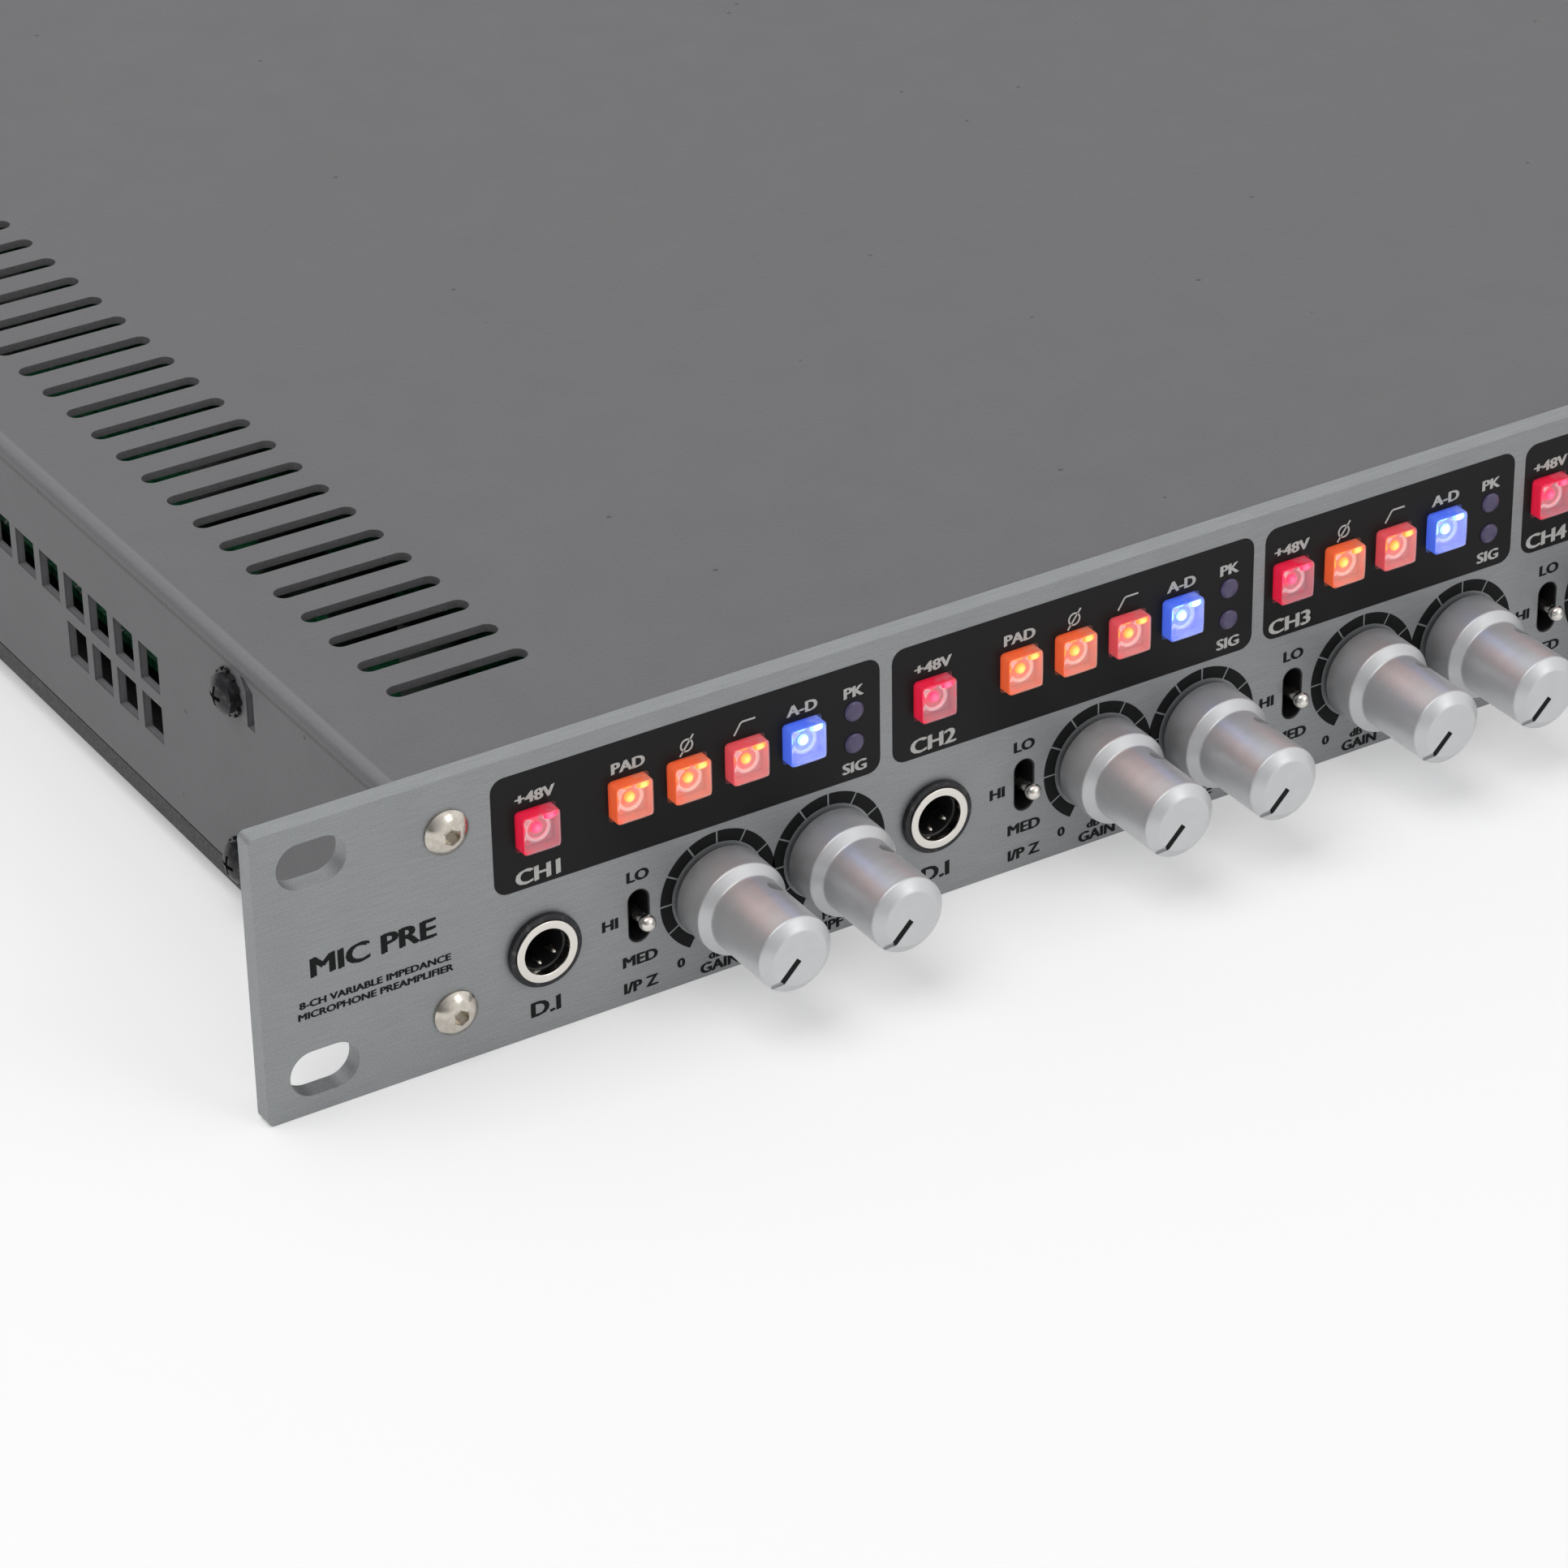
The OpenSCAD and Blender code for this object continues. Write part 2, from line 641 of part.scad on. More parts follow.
module optical_sockets() {
    color([0.08, 0.08, 0.08]) for (x = optical_xs)
        upright(case_back - 12, 13) translate([x, case_mid - dsub_pitch_z / 2]) difference() {
            square([9.8, 9.8], center = true);
            square([6.4, 6.4], center = true);
        }
    color([0.2, 0.2, 0.2]) for (x = optical_xs)
        upright(case_back - 13.5, 1.5) translate([x, case_mid - dsub_pitch_z / 2])
            square([9.8, 9.8], center = true);
}

module mains_inlet() {
    face = case_back + flange_t;
    socket_deep = 15;
    color([0.07, 0.07, 0.07]) translate([inlet_x, 0, case_mid]) difference() {
        union() {
            upright(case_back, flange_t) round_rect(inlet_w, inlet_h, 2);
            block([-inlet_body.x / 2, case_back - inlet_depth, -inlet_body.y / 2],
                  [inlet_body.x / 2, case_back + tiny, inlet_body.y / 2]);
        }
        upright(face - socket_deep, 20) translate(socket_at) difference() {
            square(socket_size, center = true);
            for (s = [-1, 1]) translate([s * socket_size.x / 2, socket_size.y / 2]) rotate(45)
                square(6, center = true);
        }
        upright(face - drawer_depth - 1, 30) translate(drawer_at)
            square(drawer_size + 2 * [drawer_gap, drawer_gap], center = true);
        upright(face - 16, 30) translate(rocker_at)
            square(rocker_size + 2 * [rocker_gap, rocker_gap], center = true);
        translate([rocker_at.x, rocker_pin_y, 0]) rotate([0, 90, 0])
            cylinder(r = rocker_pin_r + pin_gap, h = rocker_size.x + 3, center = true);
        for (x = inlet_screws) rod(x - inlet_x, case_back - 1, 0, screw_hole_r, 10);
    }
    color([0.8, 0.8, 0.8]) translate([inlet_x + socket_at.x, 0, case_mid + socket_at.y])
        for (p = [[0, 2.6], [-7, -2], [7, -2]])
            block([p.x - 1, face - socket_deep, p.y - 2], [p.x + 1, face - 6, p.y + 2]);
}

module fuse_drawer() {
    face = case_back + flange_t;
    color([0.1, 0.1, 0.1]) translate([inlet_x + drawer_at.x, 0, case_mid + drawer_at.y]) {
        difference() {
            upright(face - drawer_depth, drawer_depth) square(drawer_size, center = true);
            block([-8, face - 16, -1.5], [8, face - 4, 4]);
        }
        upright(face, 0.8) square(drawer_size, center = true);
    }
}

module power_rocker() {
    color([0.12, 0.12, 0.12]) translate([inlet_x + rocker_at.x, rocker_pin_y, case_mid])
        rotate([rocker_rest, 0, 0]) {
            half = rocker_size.y / 2 - 0.6;
            rotate([90, 0, 90]) translate([0, 0, -rocker_size.x / 2]) linear_extrude(rocker_size.x)
                polygon([[-3, -3], [-3, 3], [2, half], [7.6, half], [6.2, 0], [7.6, -half], [2, -half]]);
            rotate([0, 90, 0]) cylinder(r = rocker_pin_r, h = rocker_size.x + 2, center = true);
        }
}

module di_jacks() {
    for (x = jack_xs) color([0.8, 0.8, 0.8]) difference() {
        union() {
            rod(x, -1.2, -lower_row, jack_bush_r, pot_front + 1.2 + tiny);
            translate([x, 0, -lower_row])
                block([-jack_body.x / 2, pot_front, -jack_body.y / 2],
                      [jack_body.x / 2, jack_depth + 2, jack_body.y / 2]);
        }
        rod(x, -2, -lower_row, jack_bore_r, jack_depth + 2);
    }
}

module di_jack_nuts() {
    color([0.05, 0.05, 0.05]) for (x = jack_xs) difference() {
        rod(x, -0.9, -lower_row, 5.5, 0.9);
        rod(x, -2, -lower_row, jack_bush_r + thread_gap, 4);
    }
}

module potentiometers() {
    color([0.3, 0.35, 0.3]) for (x = knob_xs) difference() {
        union() {
            translate([x, 0, -lower_row]) block([-pot_size.x / 2, pot_front, -pot_size.y / 2],
                [pot_size.x / 2, board_y, pot_size.y / 2]);
            rod(x, 0.2, -lower_row, bush_r, pot_front - 0.2 + tiny);
        }
        rod(x, -1, -lower_row, shaft_r + shaft_gap, board_y);
    }
}

// The body of a toggle, with the hole of the pin that its lever turns on.
module toggle_housing() {
    front = panel_t + 0.3;
    difference() {
        block([-housing_w / 2, front, -housing_h / 2], [housing_w / 2, board_y, housing_h / 2]);
        block([-2.2, front - 1, -4.6], [2.2, board_y - 0.6, 4.6]);
        translate([0, pivot_y, 0]) rotate([0, 90, 0])
            cylinder(r = pin_r + pin_gap, h = housing_w + 2, center = true);
    }
}

// The body of a push switch, open at the front for its plunger.
module push_switch() {
    half = switch_size / 2;
    difference() {
        block([-half, switch_front, -half], [half, board_y, half]);
        rod(0, switch_front - 1, 0, plunger_r + 0.3, board_y - switch_front + 0.6);
    }
}

module switch_housings() {
    color([0.12, 0.12, 0.12]) {
        for (x = toggle_xs) translate([x, 0, -lower_row]) toggle_housing();
        for (x = all_button_xs) translate([x, 0, upper_row]) push_switch();
    }
}

module indicator_leds() {
    color([0.35, 0.3, 0.5]) for (p = led_points) {
        rod(p.x, -0.2, p.y, led_r, panel_t + 1.2);
        rod(p.x, panel_t + 1, p.y, 2.1, board_y - panel_t - 1);
    }
}

// A button head screw with a hexagon socket, pointing along +Y, under its head at the origin.
module button_head_screw(l) {
    head_r = 3.3;
    head_h = 1.9;
    difference() {
        union() {
            rotate([90, 0, 0]) rotate_extrude() intersection() {
                translate([0, -1.95]) circle(3.85);
                square([head_r, head_h]);
            }
            rod(0, -tiny, 0, screw_r, l);
        }
        translate([0, -1, 0]) rotate([90, 0, 0]) cylinder(r = 1.2, h = 2, $fn = 6);
    }
}

// A pan head screw with a cross recess, pointing along -Z, under its head at the origin.
module pan_head_screw(l) {
    difference() {
        union() {
            rotate_extrude() intersection() {
                translate([0, -2.3]) circle(4.3);
                square([2.9, 2]);
            }
            translate([0, 0, -l]) cylinder(r = screw_r, h = l + tiny);
        }
        for (a = [0, 90]) rotate(a) translate([-1.5, -0.3, 0.9]) cube([3, 0.6, 2]);
    }
}

// A serrated lock washer lying on the plane Z = 0.
module lock_washer() {
    linear_extrude(washer_t) difference() {
        union() {
            circle(3.2);
            for (a = [0:30:330]) rotate(a) translate([3, 0]) square([1.2, 0.8], center = true);
        }
        circle(screw_hole_r);
    }
}

module panel_screws() {
    color([0.75, 0.74, 0.72]) for (p = panel_screw_points) translate([p.x, 0, p.y])
        button_head_screw(8);
}

module case_screws() {
    color([0.06, 0.06, 0.06]) {
        for (s = [-1, 1], p = side_screw_points)
            translate([s * case_w / 2, p.x, p.y]) rotate([0, s * 90, 0]) {
                lock_washer();
                translate([0, 0, washer_t]) pan_head_screw(6.5);
            }
        for (p = mic_screws) translate([p.x, case_back + flange_t, p.y]) rotate([-90, 0, 0])
            pan_head_screw(6);
        for (x = inlet_screws) translate([x, case_back + flange_t, case_mid]) rotate([-90, 0, 0])
            pan_head_screw(6);
        for (p = concat(main_board_studs, power_studs)) translate([p.x, p.y, main_board_top])
            pan_head_screw(6);
    }
}

// A knob on its shaft, with the grub screw that holds it, turned to its lowest setting.
module knob(x) {
    grub_back = 9.95;
    cone = 1.3;
    bore_l = 15;
    translate([x, -knob_gap, -lower_row]) rotate([0, pointer_rest, 0]) color([0.75, 0.76, 0.77]) {
        difference() {
            rotate([90, 0, 0]) rotate_extrude() polygon([
                [shaft_r + shaft_gap, 0], [skirt_r, 0], [skirt_r, skirt_l],
                [barrel_r, skirt_l + cone], [barrel_r, knob_l - cone], [knob_face_r, knob_l],
                [0, knob_l], [0, bore_l], [shaft_r + shaft_gap, bore_l]]);
            block([-0.35, -knob_l - 1, 0.2], [0.35, -knob_l + 0.25, knob_face_r + 1]);
            rotate([0, 27 - pointer_rest, 0]) translate([0, -grub_back, 0]) cylinder(r = 1.1, h = 10);
        }
        rotate([0, 27 - pointer_rest, 0]) translate([0, -grub_back, shaft_r])
            cylinder(r = 1.05, h = barrel_r - shaft_r - 0.6);
        rod(0, -bore_l + 0.3, 0, shaft_r, bore_l - 0.3 + knob_gap + board_y - 1.4);
    }
}

// A toggle lever at its middle setting, on the cross pin that it turns on.
module toggle_lever(x) {
    reach = pivot_y + toggle_out - toggle_tip_r;
    color([0.8, 0.8, 0.8]) translate([x, pivot_y, -lower_row]) {
        rotate([90, 0, 0]) rotate_extrude() intersection() {
            union() {
                polygon([[0, 0], [1.1, 0], [lever_r, reach], [0, reach]]);
                translate([0, reach]) circle(toggle_tip_r);
                circle(1.7);
            }
            translate([0, -3]) square([4, reach + 10]);
        }
        rotate([0, 90, 0]) cylinder(r = pin_r, h = housing_w, center = true);
    }
}

// A button cap with the plunger that enters its switch.
module button(x) {
    back = switch_front - button_travel - 0.5;
    color([0.85, 0.5, 0.5]) {
        upright(-button_out, button_out + back) translate([x, upper_row])
            round_rect(button_size, button_size, 0.5);
        rod(x, back - tiny, upper_row, plunger_r, plunger_l + tiny);
    }
}

front_panel();
base_tray();
top_cover();
rear_panel();
main_board();
control_board();
power_supply();
mains_transformer();
mic_sockets();
mic_socket_cores();
d_sub_sockets();
clock_sockets();
optical_sockets();
mains_inlet();
fuse_drawer();
power_rocker();
di_jacks();
di_jack_nuts();
potentiometers();
switch_housings();
indicator_leds();
panel_screws();
case_screws();
button(phantom_x(1));  // phantom_button_1
for (k = [0:3])
    button(button_x(1, k));
button(sync_x);  // sync_button
for (i = [2:channels])
    for (x = channel_button_xs(i)) button(x);
for (i = [1:channels]) {
    knob(gain_x(i));
    knob(filter_x(i));
    toggle_lever(toggle_x(i));
}
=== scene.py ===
"""Finishes, printing, lamps and fittings of an eight channel microphone preamplifier.

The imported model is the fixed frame. Lengths are in millimetres until a mesh is made, and places come
from the frame's boxes and mounts. X runs along the front panel, Y into the case and Z up.
"""

import json
import math

import bmesh
import bpy
import numpy as np
from bpy.props import FloatProperty, FloatVectorProperty, PointerProperty
from mathutils import Euler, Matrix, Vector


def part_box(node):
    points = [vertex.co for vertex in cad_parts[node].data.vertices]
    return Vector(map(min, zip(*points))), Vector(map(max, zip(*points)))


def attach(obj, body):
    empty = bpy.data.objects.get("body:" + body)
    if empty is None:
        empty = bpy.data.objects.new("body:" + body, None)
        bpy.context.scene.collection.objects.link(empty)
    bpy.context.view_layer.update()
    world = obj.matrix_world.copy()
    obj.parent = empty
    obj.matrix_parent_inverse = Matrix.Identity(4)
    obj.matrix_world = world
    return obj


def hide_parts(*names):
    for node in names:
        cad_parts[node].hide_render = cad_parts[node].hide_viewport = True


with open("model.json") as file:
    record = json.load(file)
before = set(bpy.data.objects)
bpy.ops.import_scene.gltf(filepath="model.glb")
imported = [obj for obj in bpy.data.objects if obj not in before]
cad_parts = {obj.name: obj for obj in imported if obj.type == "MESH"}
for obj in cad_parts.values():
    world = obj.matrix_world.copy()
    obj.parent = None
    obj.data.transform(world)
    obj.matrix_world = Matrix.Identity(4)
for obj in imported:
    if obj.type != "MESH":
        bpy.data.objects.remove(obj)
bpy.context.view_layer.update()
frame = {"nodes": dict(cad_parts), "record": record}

bl_info = {
    "name": "Microphone preamplifier",
    "version": (1, 0, 0),
    "blender": (4, 5, 0),
    "location": "View3D > Sidebar > Preamp",
    "description": "Dresses a rack mounted microphone preamplifier and lights it in a plain studio",
    "category": "Object",
}

MM = 0.001
CHASSIS = "chassis"
INK = 0.05  # the thickness of print
OVERPRINT = 0.003  # how far each copy of a word is moved in depth
CAPITAL = 0.729  # the height of the font's capitals, as a share of its size
BOARD_T = 1.6  # the thickness of the circuit boards
BUSH_R = 4.4  # the radius of the instrument jacks' bushes
POINTER_AT = math.radians(-135.5)  # where the knobs point at their lowest setting, from straight up
TURN = 2 * math.pi
FIRST_BUTTONS = ["phantom", "pad", "polarity", "highpass", "converter"]
LENS_OF = {"phantom": "red", "pad": "orange", "polarity": "orange", "highpass": "coral",
           "converter": "blue", "sync": "blue"}


# ---------------------------------------------------------------- places, from the frame

def box(node):
    """The lowest and the highest corner of a node, in millimetres."""
    low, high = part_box(node)
    return np.array(low) / MM, np.array(high) / MM


def middle(node):
    """The middle of a node's box, in millimetres."""
    low, high = box(node)
    return (low + high) / 2


def mount(name):
    """The place of one of the record's mounts, in millimetres."""
    found = [m for m in frame["record"]["mounts"] if m["name"] == name]
    return np.array(found[0]["pos_m"]) / MM


CHANNELS = range(1, 1 + sum(name.startswith("gain_knob_") for name in frame["nodes"]))
CAP_LOW, CAP_HIGH = box("phantom_button_1")
CAP_SIDE = CAP_HIGH[2] - CAP_LOW[2]
CAP_FRONT = CAP_LOW[1]
CAP_BACK = CAP_FRONT + 5.55
LAMP_DEPTH = CAP_FRONT + 2.9
UPPER_ROW = (CAP_HIGH[2] + CAP_LOW[2]) / 2
LOWER_ROW = middle("gain_knob_1")[2]
BUTTON_PITCH = middle("highpass_button_1")[0] - middle("polarity_button_1")[0]


def buttons_of(channel):
    """Each button of a channel, from left to right: its use, the body it rides on and its X."""
    if channel == 1:
        return [(use, f"{use}_button_1", middle(f"{use}_button_1")[0]) for use in FIRST_BUTTONS]
    body = f"channel_buttons_{channel}"
    low, high = box(body)
    first, last = low[0] + CAP_SIDE / 2, high[0] - CAP_SIDE / 2
    wide = last - first > 3.5 * BUTTON_PITCH
    uses = FIRST_BUTTONS if wide else [use for use in FIRST_BUTTONS if use != "pad"]
    places = [first] + [last - k * BUTTON_PITCH for k in range(len(uses) - 2, -1, -1)]
    return [(use, body, x) for use, x in zip(uses, places)]


def jack_places():
    """The X of each instrument jack."""
    names = [m["name"] for m in frame["record"]["mounts"] if m["name"].startswith("instrument_jack")]
    return [mount(name)[0] for name in sorted(names)]


def lamp_places(sizes):
    """The X and Z of each indicator lamp: two for each channel, then a column of four."""
    high = box("indicator_leds")[1][2] - sizes.lamp_holder / MM
    pitch = sizes.lamp_pitch / MM
    pairs = [(window_of(c, sizes)[1] - sizes.lamp_inset / MM, high - k * pitch)
             for c in CHANNELS for k in range(2)]
    column = middle("sync_button")[0]
    low = box("indicator_leds")[0][2] + sizes.lamp_holder / MM
    return pairs + [(column, low + k * sizes.rate_pitch / MM) for k in range(4)]


def window_of(channel, sizes):
    """The left and the right edge of a channel's printed window."""
    wide = len(buttons_of(channel)) == len(FIRST_BUTTONS)
    margin = sizes.window_margin_wide if wide else sizes.window_margin
    left = buttons_of(channel)[0][2] - margin / MM
    return left, middle(f"filter_knob_{channel}")[0] + sizes.window_past_knob / MM


# ---------------------------------------------------------------- shapes, as numpy arrays

def loft(rows, around=False):
    """A skin over closed loops that have the same number of points.

    Point i of loop j joins point i + 1 and the same point of loop j + 1. The last loop joins the first
    if the skin goes all the way around, and otherwise both end loops are closed with a flat face."""
    rows = np.asarray(rows, float)
    index = np.arange(rows.shape[0] * rows.shape[1]).reshape(rows.shape[:2])
    if around:
        index = np.vstack([index, index[:1]])
    after = np.roll(index, -1, axis=1)
    quads = np.stack([index[:-1], after[:-1], after[1:], index[1:]], axis=-1).reshape(-1, 4)
    faces = quads.tolist()
    if not around:
        faces += [index[0, ::-1].tolist(), index[-1].tolist()]
    return rows.reshape(-1, 3), faces


def soften(corners, reach, steps=4):
    """A profile whose inner corners are curves.

    Each corner P becomes the curve (1 - t)^2 A + 2 t (1 - t) P + t^2 B, where A and B lie on its two
    sides, the given reach away from it or at the middle of a shorter side."""
    corners = np.asarray(corners, float)
    inner, before, after = corners[1:-1], corners[:-2], corners[2:]
    to_before, to_after = before - inner, after - inner
    length_before = np.linalg.norm(to_before, axis=1, keepdims=True)
    length_after = np.linalg.norm(to_after, axis=1, keepdims=True)
    a = inner + to_before * np.minimum(reach / length_before, 0.5)
    b = inner + to_after * np.minimum(reach / length_after, 0.5)
    t = np.linspace(0, 1, steps + 1)[None, :, None]
    curve = (1 - t) ** 2 * a[:, None] + 2 * t * (1 - t) * inner[:, None] + t ** 2 * b[:, None]
    return np.vstack([corners[:1], curve.reshape(-1, 2), corners[-1:]])


def turned(profile, x, z, sides=64, around=False):
    """A turned piece: the profile's (radius, Y) points carried round an axis along Y.

    A point at angle t is (x + radius sin t, Y, z + radius cos t)."""
    profile = np.asarray(profile, float)
    t = np.arange(sides) * TURN / sides
    radius, y = profile[:, :1], profile[:, 1:]
    rows = np.stack([x + radius * np.sin(t), y + 0 * t, z + radius * np.cos(t)], axis=-1)
    return loft(rows, around)


def oval(wide, high, corner, steps=6):
    """A closed outline with round corners, centred: quarter circles about the four inner corners."""
    t = np.linspace(0, math.pi / 2, steps)
    quarter = np.stack([np.cos(t), np.sin(t)], axis=-1) * corner
    turns = [quarter @ np.array([[c, s], [-s, c]]) for c, s in ((1, 0), (0, 1), (-1, 0), (0, -1))]
    signs = np.array([[1, 1], [-1, 1], [-1, -1], [1, -1]])
    inner = np.array([wide / 2 - corner, high / 2 - corner])
    return np.vstack([turn + sign * inner for turn, sign in zip(turns, signs)])


def ring_outline(radius, steps=32):
    """A circle as a closed outline, centred."""
    t = np.arange(steps) * TURN / steps
    return np.stack([np.cos(t), np.sin(t)], axis=-1) * radius


def stand(outline, x, y, z):
    """An outline stood up in X and Z, round a point."""
    return np.stack([x + outline[:, 0], np.full(len(outline), y), z + outline[:, 1]], axis=-1)


def ladder(outline, stations, x, z):
    """A skin along Y: at each station (Y, inset) the outline shrinks by the inset towards its middle."""
    reach = np.abs(outline).max(axis=0)
    return loft([stand(outline * (1 - inset / reach), x, y, z) for y, inset in stations])


def bead(centre, radii, sides=24):
    """An ellipsoid: rings of radius sin p along Y at cos p, for p from pole to pole."""
    p = np.linspace(0.02, math.pi - 0.02, sides // 2)
    points, faces = turned(np.stack([np.sin(p), -np.cos(p)], axis=-1), 0, 0, sides)
    return points * np.asarray(radii) + np.asarray(centre), faces


def brick(low, high):
    """A box from its low corner to its high corner."""
    low, high = np.asarray(low, float), np.asarray(high, float)
    square = np.array([[0, 0], [1, 0], [1, 1], [0, 1]])
    rows = [np.c_[low[:2] + square * (high - low)[:2], np.full(4, z)] for z in (low[2], high[2])]
    return loft(rows)


def gather(parts):
    """Several shapes as one: their points stacked, and their faces counted on."""
    points = np.vstack([p for p, _ in parts])
    starts = np.cumsum([0] + [len(p) for p, _ in parts])
    faces = [[start + i for i in face] for start, (_, fs) in zip(starts, parts) for face in fs]
    return points, faces


def flat(loops, thickness=INK):
    """A sheet in X and Y with the loops as its edges: a loop inside another is a hole."""
    curve = bpy.data.curves.new("outline", "CURVE")
    curve.dimensions = "2D"
    curve.fill_mode = "BOTH"
    curve.extrude = thickness / 2
    for loop in loops:
        spline = curve.splines.new("POLY")
        spline.points.add(len(loop) - 1)
        spline.points.foreach_set("co", np.c_[loop, np.zeros(len(loop)), np.ones(len(loop))].ravel())
        spline.use_cyclic_u = True
    return as_arrays(curve)


def as_arrays(curve):
    """The points and faces of a flat curve or a text, which is then removed."""
    maker = bpy.data.objects.new("maker", curve)
    shape = taken_from(bpy.data.meshes.new_from_object(maker))
    bpy.data.objects.remove(maker)
    return shape


def points_of(mesh):
    """The places of a mesh's points, in the mesh's own unit."""
    points = np.zeros(len(mesh.vertices) * 3)
    mesh.vertices.foreach_get("co", points)
    return points.reshape(-1, 3)


def taken_from(mesh):
    """The points and faces of a mesh, which is then removed."""
    points, faces = points_of(mesh), [list(p.vertices) for p in mesh.polygons]
    bpy.data.meshes.remove(mesh)
    return points, faces


def mesh_of(name, shape, unit=1.0, weld=0.0):
    """A mesh of a shape, with its faces turned outwards and points nearer than the weld made one."""
    points, faces = shape
    mesh = bpy.data.meshes.new(name)
    mesh.from_pydata((np.asarray(points) * unit).tolist(), [], faces)
    work = bmesh.new()
    work.from_mesh(mesh)
    if weld:
        bmesh.ops.remove_doubles(work, verts=work.verts, dist=weld)
    bmesh.ops.recalc_face_normals(work, faces=work.faces)
    work.to_mesh(mesh)
    work.free()
    return mesh


def word(text, height, stretch=1.16, bold=0.14):
    """A word in X and Y, centred, with capitals of that height, and a little wider than the font.

    The strokes are made bolder by two copies, set apart by that share of the height and a little
    in depth, so that their faces never lie in one plane."""
    curve = bpy.data.curves.new("word", "FONT")
    curve.body = text
    curve.resolution_u = 3
    curve.extrude = INK / 2
    points, faces = as_arrays(curve)
    centre = (points.min(axis=0) + points.max(axis=0)) / 2
    points[:, :2] = (points[:, :2] - centre[:2]) * np.array([stretch, 1]) * height / CAPITAL
    shift = np.array([bold * height / 2, 0.12 * bold * height, OVERPRINT])
    return gather([(points - shift, faces), (points + shift, faces)])


def strokes(lines, width):
    """Flat strokes along straight lines: each line is widened by half the width on both sides."""
    parts = []
    for line in lines:
        line = np.asarray(line, float)
        along = np.gradient(line, axis=0)
        along /= np.linalg.norm(along, axis=1, keepdims=True)
        across = np.stack([-along[:, 1], along[:, 0]], axis=-1) * width / 2
        parts.append(flat([np.vstack([line + across, (line - across)[::-1]])]))
    return gather(parts)


def on_front(shape, x, z, y=0.0):
    """Stands a flat shape on the front of the panel: its X stays, its Y turns up to Z."""
    points, faces = shape
    return np.stack([x + points[:, 0], y - INK / 2 - points[:, 2], z + points[:, 1]], axis=-1), faces


def on_back(shape, x, z, y):
    """Stands a flat shape on a plane that faces back, so that it reads from behind."""
    points, faces = shape
    return np.stack([x - points[:, 0], y + INK / 2 + points[:, 2], z + points[:, 1]], axis=-1), faces


# ---------------------------------------------------------------- pieces

def piece(name, shape, finish_name, body=CHASSIS, replaces=(), crease=35, lathe=None,
          middle_at=None):
    """Makes a piece, gives it its finish, and lets it ride on its body.

    A turned piece gets a map whose U is the distance from its axis and whose V is the depth along it,
    for marks that run round it. A piece with a middle gets a map of X and Z from there. Both maps are
    in centimetres."""
    mesh = mesh_of(name, shape, MM, 1e-7)
    mesh.shade_smooth()
    mesh.set_sharp_from_angle(angle=math.radians(crease))
    x, y, z = points_of(mesh).T / MM
    if lathe is not None:
        add_map(mesh, np.hypot(x - lathe[0], z - lathe[1]), y)
    if middle_at is not None:
        add_map(mesh, x - middle_at[0], z - middle_at[1])
    mesh.materials.append(finish(finish_name))
    made = bpy.data.objects.new(name, mesh)
    bpy.context.scene.collection.objects.link(made)
    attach(made, body)
    if replaces:
        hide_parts(*replaces)
    return made


def add_map(mesh, u, v):
    """A UV map that holds two lengths for each point, in centimetres."""
    corners = np.zeros(len(mesh.loops), int)
    mesh.loops.foreach_get("vertex_index", corners)
    layer = mesh.uv_layers.new(name="lengths")
    layer.data.foreach_set("uv", (np.stack([u, v], axis=-1)[corners] / 10).ravel())


def carve(shape, cutters):
    """Takes the cutters away from a shape."""
    made = [bpy.data.objects.new("carving", mesh_of("carving", item)) for item in [shape, *cutters]]
    for item in made:
        bpy.context.scene.collection.objects.link(item)
    for cutter in made[1:]:
        step = made[0].modifiers.new("cut", "BOOLEAN")
        step.object = cutter
        step.operation = "DIFFERENCE"
        step.solver = "EXACT"
    bpy.context.view_layer.update()
    result = bpy.data.meshes.new_from_object(
        made[0].evaluated_get(bpy.context.evaluated_depsgraph_get()))
    for item in made:
        bpy.data.objects.remove(item)
    return taken_from(result)


def dress(node, finish_name):
    """Gives a node of the frame its finish."""
    made = frame["nodes"][node]
    made.data.materials.clear()
    made.data.materials.append(finish(finish_name))
    return made


# ---------------------------------------------------------------- finishes

